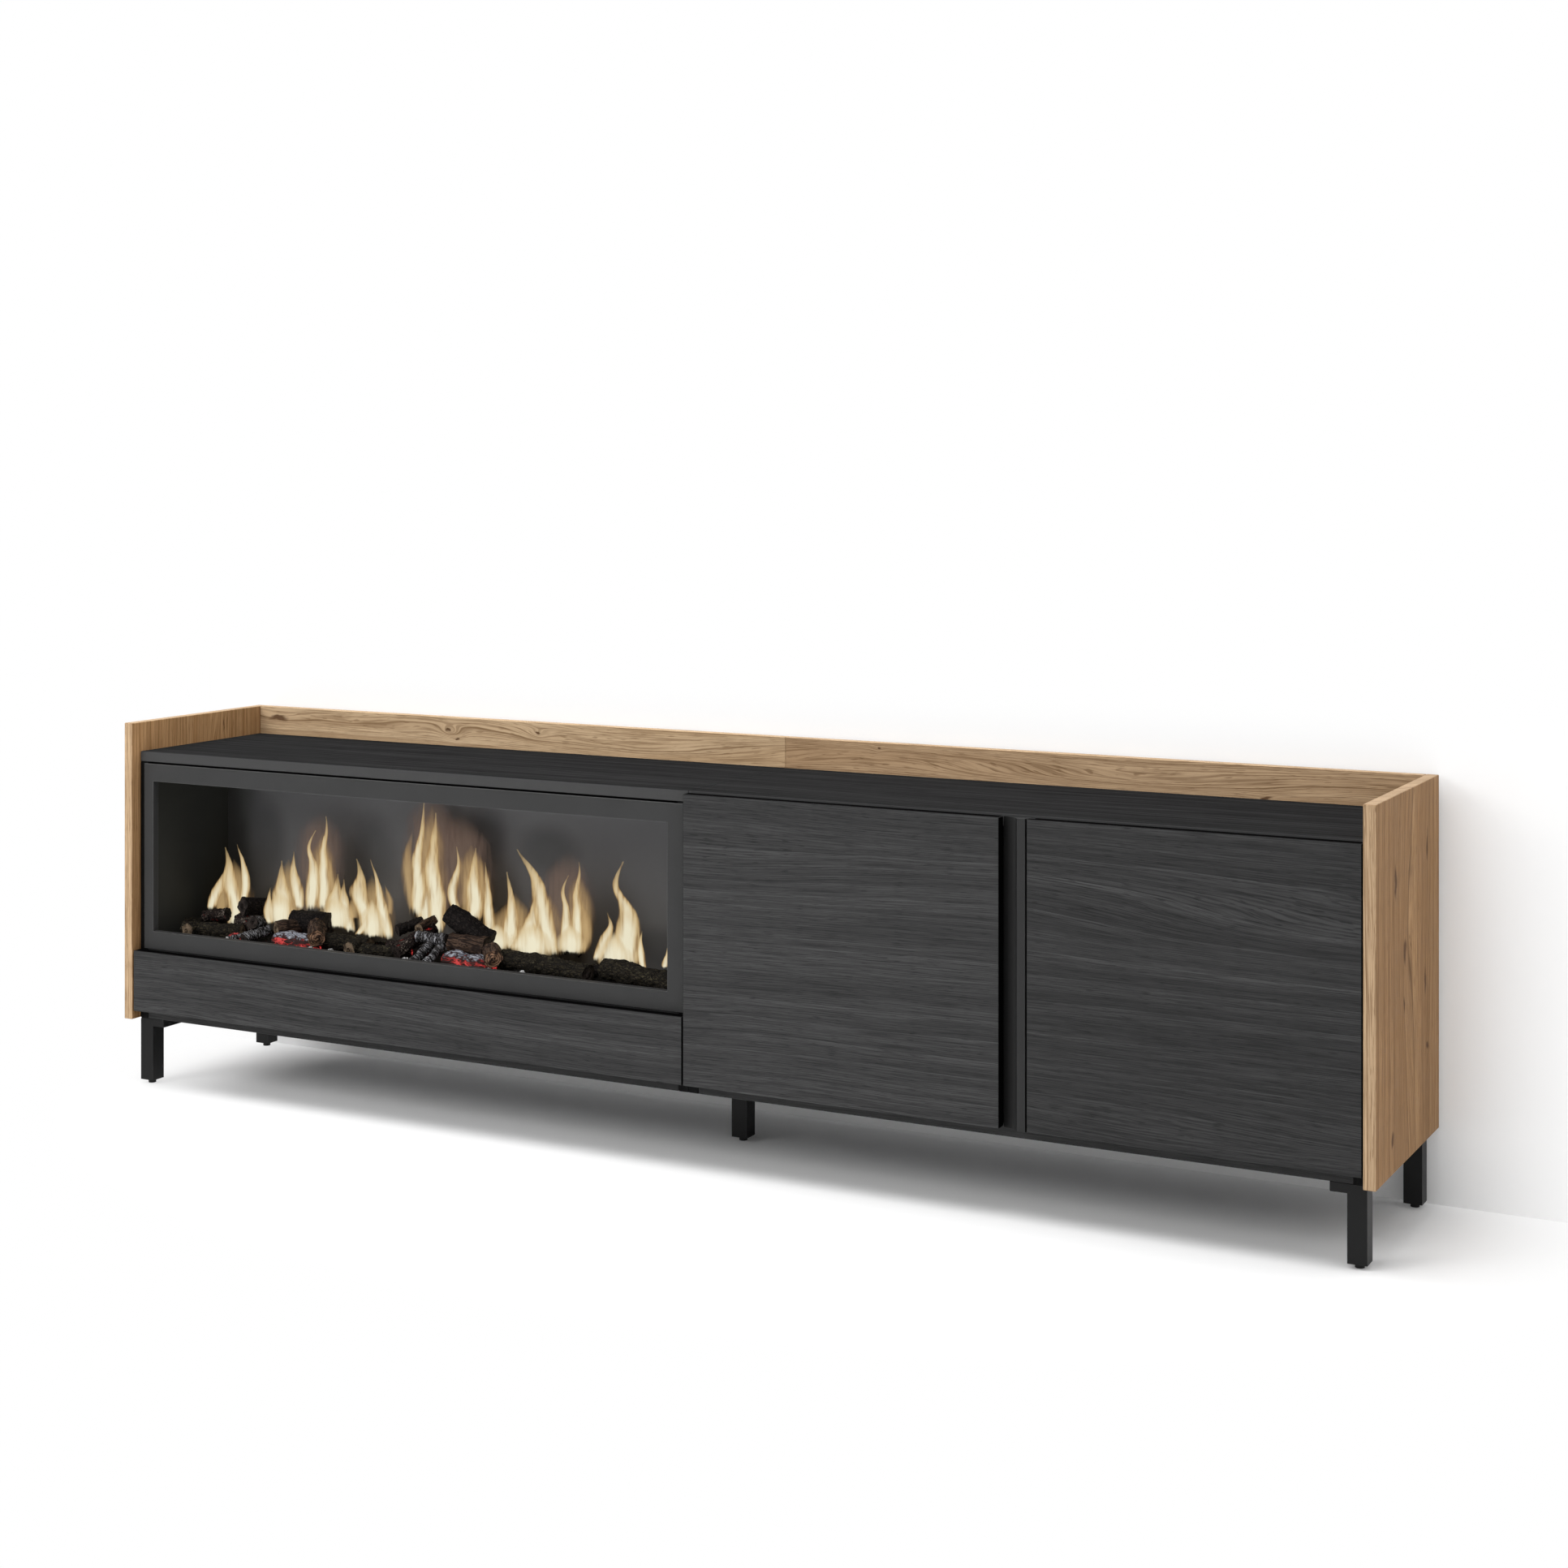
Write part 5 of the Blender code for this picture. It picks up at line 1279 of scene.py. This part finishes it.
def coal_bed():
    low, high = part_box("log_bed")
    columns = round((high.x - low.x) / BED_CELL)
    rows = round((BED_BACK - BED_FRONT) / BED_CELL)
    shape = bmesh.new()
    grid = []
    for row in range(rows + 1):
        y = BED_FRONT + (BED_BACK - BED_FRONT) * row / rows
        line = []
        for column in range(columns + 1):
            x = low.x + (high.x - low.x) * column / columns
            inside = min(row, rows - row, column, columns - column) > 0
            rim = BED_TOP - BED_RIM_SINK - BED_BACK_FALL * (row == rows)
            line.append(shape.verts.new((x, y, bed_height(x, y, row / rows) if inside else rim)))
        grid.append(line)
    for first, second in zip(grid, grid[1:]):
        for i in range(columns):
            shape.faces.new((first[i], first[i + 1], second[i + 1], second[i]))
    right, left = [line[-1] for line in grid[1:]], [line[0] for line in grid[1:-1]]
    edge = grid[0] + right + grid[-1][-2::-1] + left[::-1]
    foot = [shape.verts.new((vert.co.x, vert.co.y, low.z)) for vert in edge]
    add_bands(shape, [edge, foot], 0, True)
    shape.faces.new(foot)
    bmesh.ops.recalc_face_normals(shape, faces=shape.faces)
    remember_place(shape)
    return new_piece("coal_bed", shape, [burnt_finishes["coal"]])


bed = coal_bed()
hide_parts("log_bed")
print("coal bed", len(bed.data.polygons), "faces")

# %% Ash flakes
FLAKES = (  # across and back in shares of the chamber's width, size in metres
    (0.311, 0.012, 0.0060), (0.352, 0.010, 0.0066), (0.655, 0.010, 0.0056),
    (0.716, 0.010, 0.0068), (0.146, 0.009, 0.0072), (0.497, 0.011, 0.0064),
)
FLAKE_LEVEL, FLAKE_ROUGH, FLAKE_FLAT = 0.004, 0.55, 0.8
FLAKE_RADIUS, FLAKE_GRAIN, FLAKE_SEED = 0.75, 0.5, 90


def ash_flake(name, across, back, size):
    shape = bmesh.new()
    bmesh.ops.create_icosphere(shape, subdivisions=3, radius=size * FLAKE_RADIUS)
    centre = bed_place(across, back, FLAKE_LEVEL)
    for vert in shape.verts:
        place = vert.co / (size * FLAKE_GRAIN) + centre * FLAKE_SEED
        vert.co *= 1 + FLAKE_ROUGH * noise.noise(place)
        vert.co = centre + Vector((vert.co.x, vert.co.y, vert.co.z * FLAKE_FLAT))
    remember_place(shape)
    return new_piece(name, shape, [burnt_finishes["chip"]])


for number, row in enumerate(FLAKES, 1):
    ash_flake(f"ash_flake_{number}", *row)
print(len(FLAKES), "flakes of ash")

# %% [markdown]
# ## The light of a flame
# A real electric fire throws its flames on the screen as light. Here each tongue is a thin sheet
# that shines and has no colour under the lamps. Its UV map gives the place across (U) and up (V),
# from which the flame group makes a hot core, a soft ragged rim, and streaks that run up the flame.
# Four kinds of light use it: the flame itself, the bright base where flames meet, the amber
# envelope round a group of flames, and the faint halo that they throw on the screen.

# %% Flame group
STREAK_SIZE, STREAK_STRETCH = 5 * MM, (1, 1, 0.13)
SWIRL_SIZE, SWIRL_STRETCH, SWIRL_LOW, SWIRL_HIGH = 18 * MM, (1, 1, 0.4), 0.1, 2.4
RAGGED, FOOT_RAGGED = 0.7, 0.25
FOOT_FROM, FOOT_FULL, TIP_FADES_FROM = -0.01, 0.09, 0.66
SIDE_FADE = 0.22
CORE_FROM, CORE_FULL, CORE_HIGHEST = 0.25, 0.95, 0.12


def flame_recipe(group, taken):
    streaks = noise_of(scaled(taken["Place"], STREAK_STRETCH), STREAK_SIZE)
    swirl = noise_of(scaled(taken["Place"], SWIRL_STRETCH), SWIRL_SIZE)
    across, up, _ = axes(taken["UV"])
    inward = 1.0 - (across * 2.0 - 1.0).math("ABSOLUTE")
    ragged = (streaks - 0.5) * RAGGED
    depth = inward + ragged
    rim = soft_step(depth, 0.0, taken["Softness"])
    foot = soft_step(up + ragged * FOOT_RAGGED, FOOT_FROM, FOOT_FULL)
    tip = soft_step(up, 1.0, TIP_FADES_FROM) * (1.0 - taken["Tip"]) + taken["Tip"]
    side = soft_step(inward, 0.0, SIDE_FADE)
    heat = soft_step(depth, CORE_FROM, CORE_FULL) * soft_step(up, 1.0, CORE_HIGHEST)
    heat = heat * rescale(swirl, SWIRL_LOW, SWIRL_HIGH)
    return {"Rim": rim, "Heat": heat, "Streaks": streaks, "Cover": (rim * side) * (foot * tip)}


FLAME_INPUTS = {"UV": None, "Place": None, "Softness": 0.5, "Tip": 0.3}
flame_light = new_group("flame", FLAME_INPUTS, flame_recipe)

# %% Kinds of light
DULL_STREAKS, DULL_EDGE = 0.6, (0.52, 0.34)


def light_material(name, rim_tone, body_tone, core_tone, cover_share, softness, tip):
    """A body of light: black to the lamps, shining by itself, and clear where its cover is 0."""
    def recipe(tree):
        place = {"UV": node(tree, "TexCoord", out="UV"), "Place": object_place(tree)}
        found = place_group(tree, flame_light, Softness=softness, Tip=tip, **place)
        tone = mix_colour(found["Rim"], rim_tone, body_tone)
        dull = soft_step(found["Streaks"], *DULL_EDGE) * DULL_STREAKS
        tone = mix_colour(dull, tone, rim_tone)
        return {
            "Base Color": COLD,
            "Specular IOR Level": 0.0,
            "Emission Color": mix_colour(found["Heat"], tone, core_tone),
            "Emission Strength": 1.0,
            "Alpha": found["Cover"] * cover_share,
        }

    return new_material(name, recipe)


LIGHTS = {  # name; tones of rim, body and core; cover, softness, share of cover left at the tip
    "flame": (
        "flame", (0.29, 0.155, 0.052), (0.62, 0.45, 0.22), (0.84, 0.78, 0.58), 0.82, 0.5, 0.22),
    "base": (
        "flame_base", (0.60, 0.43, 0.21), (0.72, 0.59, 0.36), (0.85, 0.79, 0.59), 0.85, 1.0, 0.0),
    "amber": (
        "amber_flame", (0.24, 0.14, 0.060), (0.44, 0.29, 0.13), (0.58, 0.40, 0.19), 0.46, 0.9, 0.1),
    "halo": (
        "flame_halo", (0.12, 0.080, 0.064), (0.150, 0.102, 0.080), (0.17, 0.12, 0.09),
        0.5, 0.8, 0.0),
}
flame_lights = {kind: light_material(*row) for kind, row in LIGHTS.items()}
print(len(flame_lights), "kinds of light")

# %% [markdown]
# ## The shape of a flame
# A flame leans, bows and curls. Each tongue is a thin closed body, broad low down and drawn out to
# its tip, swept along a middle line. The line leans, bends smoothly through three given points and
# hooks near its tip. Below the foot a clear root reaches down into the coals.

# %% Flame shapes
FLAME_STEPS, ROOT_STEPS, FLAME_SIDES = 30, 3, 12
FLAME_THICKNESS, FLAME_THICKEST = 0.16, 1.4 * MM
ROOT_Z, ROOT_WIDTH, ROOT_UV = 0.2375, 0.45, 0.2
FOOT_WIDTH, TIP_WIDTH, FLAME_SPREAD = 0.72, 0.07, 1.30
SHOULDER, POINT_FROM, POINT_POWER = 0.70, 0.45, 1.7
HOOK_FROM = 0.62


def through(values, share):
    """A smooth curve through evenly spaced values, the Catmull-Rom way."""
    last = len(values) - 1
    step = min(int(share * last), last - 1)
    t = share * last - step
    a, b, c, d = (values[min(max(i, 0), last)] for i in range(step - 1, step + 3))
    square, cube = (2 * a - 5 * b + 4 * c - d) * t ** 2, (3 * b - a - 3 * c + d) * t ** 3
    return 0.5 * (2 * b + (c - a) * t + square + cube)


def flame_width(share, neck, belly):
    """The half width at this share of the height, as a share of the widest."""
    if share < belly:
        return FOOT_WIDTH + (1 - FOOT_WIDTH) * math.sin(share / belly * math.pi / 2)
    fall = (share - belly) / (1 - belly)
    shoulder = neck + (1 - neck) * (1 + math.cos(min(1, fall / SHOULDER) * math.pi)) / 2
    point = max(0.0, (fall - POINT_FROM) / (1 - POINT_FROM))
    return max(TIP_WIDTH, shoulder * (1 - point ** POINT_POWER))


# %% A whole flame
def flame_tongue(name, kind, x, y, z, height, half_width, lean, neck, belly,
                 bends=(0, 0, 0), hook=0):
    """Lengths are in mm. neck and belly are shares of the width and of the height."""
    shape = bmesh.new()
    uv_layer = shape.loops.layers.uv.new("UVMap")
    path = [0, *bends, 0]
    rows, shares = [], {}
    for step in range(-ROOT_STEPS, FLAME_STEPS + 1):
        share, down = max(0, step) / FLAME_STEPS, max(0, -step) / ROOT_STEPS
        curl = hook * math.sin(max(0, share - HOOK_FROM) / (1 - HOOK_FROM) * math.pi)
        middle = (x + lean * share + through(path, share) + curl) * MM
        wide = half_width * MM * FLAME_SPREAD * flame_width(share, neck, belly)
        wide *= 1 - (1 - ROOT_WIDTH) * down
        level = (z + height * share) * MM - (z * MM - ROOT_Z) * down
        thick = min(FLAME_THICKNESS * wide, FLAME_THICKEST)
        row = []
        for turn in round_turns(FLAME_SIDES):
            out, back = wide * math.cos(turn), thick * math.sin(turn)
            made = shape.verts.new((middle + out, y * MM + back, level))
            shares[made] = ((1 + math.cos(turn)) / 2, share - down * ROOT_UV)
            row.append(made)
        rows.append(row)
    add_bands(shape, rows, 0, True)
    shape.faces.new(rows[0][::-1])
    shape.faces.new(rows[-1])
    for face in shape.faces:
        for loop in face.loops:
            loop[uv_layer].uv = shares[loop.vert]
    return new_piece(name, shape, [flame_lights[kind]])


# %% [markdown]
# ## Tongues of flame
# Each row is one tongue, placed where the photograph shows it. All lengths are in millimetres:
# where its foot shows, its height, its half width and how far its tip leans. Two shares follow, for
# the width of its neck and the height of its belly. Some rows go on with how far the line bends off
# its lean at a quarter, half and three quarters of the height, and how far it hooks near the tip.

# %% Flames
FLAMES = (  # name, light, across, back, up, height, half width, lean, neck, belly, bends, hook
    ("flame_1_main", "flame", -885, -38.5, 242, 125, 15, -16, 0.42, 0.50, (10, 3, 2), 3),
    ("flame_1_skirt", "flame", -935, -34.5, 264, 65, 10, 30, 0.50, 0.45, (-1, 0, 0)),
    ("flame_1_tan", "amber", -916, -30.5, 262, 62, 19, 5, 0.60, 0.30, (-1, -2, -2)),
    ("flame_1_right", "flame", -860, -42.5, 283, 91, 8, -13, 0.45, 0.35, (8, 10, 7)),
    ("flame_2_left", "flame", -803, -47.5, 254, 57, 9, 2, 0.40, 0.30, (-2, -3, -2)),
    ("flame_2_middle", "flame", -779, -43.5, 256, 99, 20, -2, 0.38, 0.30, (-1, -1, -1)),
    ("flame_2_right", "flame", -749, -39.5, 281, 89, 11, -11, 0.42, 0.35, (0, -3, -4)),
    ("flame_3_left", "flame", -736, -27.5, 278, 127, 13, 10, 0.36, 0.22, (2, 1, -5), -7),
    ("flame_3_right", "flame", -716, -23.5, 279, 149, 11, 7, 0.42, 0.30, (2, -1, -6), 7),
    ("flame_3_tan", "amber", -701, -19.5, 291, 88, 12, -15, 0.55, 0.40, (4, 5, 4)),
    ("flame_3_low", "flame", -686, -31.5, 256, 84, 17, 7, 0.36, 0.42, (-1, -1, 0)),
    ("flame_3_small", "flame", -651, -35.5, 253, 80, 13, -13, 0.36, 0.40, (-4, -5, -4)),
    ("flame_4_main", "flame", -609, -43.5, 253, 116, 16, -24, 0.34, 0.52, (1, -7, -2), 4),
    ("flame_4_curl", "flame", -627, -47.5, 252, 35, 7, 18, 0.50, 0.35, (3, 5, 3)),
    ("flame_4_tan", "amber", -643, -39, 274, 38, 13, 4, 0.60, 0.40, (0, 0, -1)),
    ("flame_4_right", "flame", -572, -39.5, 248, 121, 11, -37, 0.36, 0.30, (-1, 0, 3)),
    ("flame_4_middle", "amber", -605, -35, 249, 59, 17, -6, 0.60, 0.35, (1, 1, 1)),
    ("flame_4_edge", "amber", -579, -31, 284, 47, 7, -9, 0.50, 0.45, (3, 5, 3)),
    ("flame_5_left", "flame", -524, -33.5, 290, 175, 13, 13, 0.40, 0.20, (0, -6, 0)),
    ("flame_5_right", "flame", -484, -37.5, 265, 185, 17, -2, 0.52, 0.28, (0, -7, -6), 2),
    ("flame_5_base", "flame", -503, -29.5, 277, 67, 23, -10, 0.40, 0.30, (1, 1, 1)),
    ("flame_5_tan", "amber", -537, -25.5, 294, 123, 13, -2, 0.55, 0.45, (-7, -10, -9)),
    ("flame_6_left", "flame", -460, -17.5, 295, 102, 9, -1, 0.40, 0.30, (-9, -4, 4)),
    ("flame_6_middle", "flame", -432, -13.5, 287, 110, 15, 4, 0.48, 0.25, (2, -2, -2)),
    ("flame_6_right", "amber", -423, -9.5, 287, 103, 9, 1, 0.60, 0.40, (2, 3, 1)),
    ("flame_7", "flame", -383, -43.5, 259, 123, 10, -7, 0.50, 0.26, (3, 2, 2)),
    ("flame_8", "flame", -349, -39.5, 255, 115, 15, -4, 0.40, 0.14, (4, 7, 5)),
    ("flame_8_tan", "amber", -355, -35.5, 256, 71, 40, 8, 0.60, 0.30, (-2, -2, -1)),
    ("flame_9_main", "flame", -265, -47.5, 256, 151, 15, -64, 0.62, 0.35, (4, 11, 16)),
    ("flame_9_left", "flame", -333, -43.5, 256, 97, 13, 38, 0.50, 0.30, (8, 10, 7)),
    ("flame_9_middle", "flame", -302, -39.5, 253, 70, 17, 5, 0.45, 0.35),
    ("flame_10_left", "flame", -247, -43.5, 261, 113, 10, 7, 0.38, 0.22, (1, 0, -4), -5),
    ("flame_10_right", "flame", -221, -47.5, 262, 134, 8, 2, 0.48, 0.35, (-1, -2, -6), 5),
    ("flame_10_tan", "amber", -217, -39.5, 261, 82, 11, -8, 0.50, 0.45, (8, 11, 8)),
    ("flame_11_left", "flame", -186, -50.5, 255, 71, 9, 19, 0.38, 0.42, (4, 7, 10)),
    ("flame_11_tall", "flame", -130, -54.5, 252, 152, 22, -8, 0.32, 0.20, (1, 5, -10), -5),
    ("flame_11_right", "flame", -101, -58.5, 249, 57, 6, -2, 0.40, 0.35, (-2, -3, -3)),
    ("flame_12", "flame", -67, -54.5, 255, 29, 6, 4, 0.30, 0.20, (1, 1, 1)),
    ("envelope_1", "amber", -884, -30, 262, 85, 30, -6, 0.70, 0.35, (3, 3, 2)),
    ("envelope_2", "amber", -774, -33, 256, 100, 34, -2, 0.65, 0.35),
    ("envelope_3", "amber", -724, -19, 280, 120, 28, 6, 0.75, 0.35),
    ("envelope_4", "amber", -600, -30, 252, 90, 34, -14, 0.70, 0.40, (0, -2, 0)),
    ("envelope_5", "amber", -508, -22, 275, 182, 33, 4, 0.80, 0.30, (0, -3, -2)),
    ("envelope_6", "amber", -436, -8, 287, 112, 34, -4, 0.75, 0.40),
    ("envelope_8", "amber", -340, -35, 253, 85, 40, 0, 0.60, 0.30),
    ("envelope_9", "amber", -282, -36, 253, 110, 34, -20, 0.55, 0.35, (0, 4, 4)),
    ("envelope_10", "amber", -230, -37, 260, 118, 26, 4, 0.80, 0.40, (2, 3, 1)),
    ("flame_2_base", "base", -780, -51.5, 256, 56, 28, 4, 0.45, 0.35),
    ("flame_3_base", "base", -676, -39.5, 258, 52, 30, 0, 0.45, 0.40),
    ("flame_4_base", "base", -595, -51.5, 252, 60, 26, -2, 0.45, 0.35),
    ("flame_7_base", "base", -366, -51.5, 254, 40, 28, 4, 0.60, 0.30),
    ("flame_9_base", "base", -298, -55.5, 253, 50, 40, 0, 0.60, 0.30),
    ("flame_10_base", "base", -232, -51.5, 261, 44, 26, 2, 0.55, 0.30),
    ("flame_11_base", "base", -150, -62.5, 251, 52, 30, 2, 0.50, 0.30),
    ("halo_3", "halo", -735, -13.5, 285, 152, 48, 10, 0.75, 0.55),
    ("halo_5", "halo", -520, 0, 290, 190, 52, 0, 0.80, 0.50),
    ("halo_5_right", "halo", -452, -4, 300, 150, 52, -12, 0.80, 0.45),
    ("halo_10", "halo", -262, -33.5, 262, 150, 48, 18, 0.75, 0.50),
)
for row in FLAMES:
    flame_tongue(*row)
print(len(FLAMES), "tongues of flame")

# %% [markdown]
# ## Screws
# The hinges hang on screws that show when a door is open: two through the wings of each cup and two
# through each arm's plate. Under the stand, two more hold each leg's shoe. A head is a low dome
# with a cross pressed into it; a disc of rings is lifted into the dome, and points in the cross
# sink.

# %% Screw shape
HEAD_RINGS, HEAD_SIDES = 9, 40
HEAD_RIM, HEAD_RISE, HEAD_ROUND = 0.18, 0.34, 0.9
CROSS_ARM, CROSS_HALF_WIDTH, CROSS_DEPTH, CROSS_STEP = 0.62, 0.13, 0.30, 0.06


def screw(name, place, direction, radius, slot, body="stand"):
    """A cross-head screw whose underside lies at this place, its head along this direction."""
    shape = bmesh.new()
    aim = Vector(direction).to_track_quat("Z", "Y").to_matrix()
    turns = round_turns(HEAD_SIDES)

    def corner(x, y, level):
        return shape.verts.new(Vector(place) + aim @ Vector((x, y, level)) * radius)

    def domed(share, turn):
        x, y = share * math.cos(turn), share * math.sin(turn)
        level = HEAD_RIM + HEAD_RISE * math.sqrt(1 - HEAD_ROUND * share * share)
        if share < CROSS_ARM and min(abs(x), abs(y)) < CROSS_HALF_WIDTH:
            level -= CROSS_DEPTH * (1 - share / CROSS_ARM) + CROSS_STEP
        return corner(x, y, level)

    shares = [ring / HEAD_RINGS for ring in range(1, HEAD_RINGS + 1)]
    rows = [[domed(share, turn) for turn in turns] for share in shares]
    foot = [corner(math.cos(turn), math.sin(turn), 0) for turn in turns]
    add_fan(shape, rows[0], domed(0, 0))
    add_bands(shape, rows + [foot])
    shape.faces.new(foot[::-1])
    bmesh.ops.recalc_face_normals(shape, faces=shape.faces)
    return new_piece(name, shape, [finishes[slot]], body, smooth=False)


# %% Hinge screws
HINGE_SCREW, CUP_SCREW_SPREAD, PLATE_SCREW_SPREAD = 3.4 * MM, 22.5 * MM, 18 * MM
PLATE_THICKNESS, PLATE_SCREW_FROM_END = 1.8 * MM, 24 * MM
HINGES = [(side, level) for side in ("left", "right") for level in ("lower", "upper")]

for side, level in HINGES:
    cup_low, cup_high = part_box(f"hinge_cup_{side}_{level}")
    arm_low, arm_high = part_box(f"hinge_arm_{side}_{level}")
    middle = (cup_low + cup_high) / 2
    inward = 1 if side == "left" else -1
    plate_x = arm_low.x + PLATE_THICKNESS if inward > 0 else arm_high.x - PLATE_THICKNESS
    for number, up in enumerate((-1, 1), 1):
        name = f"{side}_{level}_{number}"
        place = (middle.x, cup_high.y, middle.z + up * CUP_SCREW_SPREAD)
        screw("cup_screw_" + name, place, (0, 1, 0), HINGE_SCREW, "nickel", side + "_door")
        place = (plate_x, arm_high.y - PLATE_SCREW_FROM_END, middle.z + up * PLATE_SCREW_SPREAD)
        screw("plate_screw_" + name, place, (inward, 0, 0), HINGE_SCREW, "nickel")
print(4 * len(HINGES), "hinge screws")

# %% Shoe screws
SHOE_SCREW, SHOE_SCREW_SPREAD, SHOE_SHEET = 3.5 * MM, 17 * MM, 2.5 * MM
DIAGONALS = {"front_left": -1, "front_right": 1, "rear_left": 1, "rear_right": -1, "middle": 1}

for leg, diagonal in DIAGONALS.items():
    low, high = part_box("leg_" + leg)
    for number, side in enumerate((-1, 1), 1):
        x = (low.x + high.x) / 2 + side * SHOE_SCREW_SPREAD
        y = (low.y + high.y) / 2 + side * diagonal * SHOE_SCREW_SPREAD
        place = (x, y, high.z - SHOE_SHEET)
        screw(f"shoe_screw_{leg}_{number}", place, (0, 0, -1), SHOE_SCREW, "black_steel")
print(2 * len(DIAGONALS), "shoe screws")

# %% [markdown]
# ## Measuring and finishing
# The dressed stand is meant to be as large as its CAD model. Both boxes are gathered here, and the
# new one is printed.

# %% Size and finish
new_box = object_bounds()
boxes = {"cad": cad_box, "visual": new_box}
boxes = {name: [list(corner) for corner in box] for name, box in boxes.items()}
print("visual box", boxes["visual"])
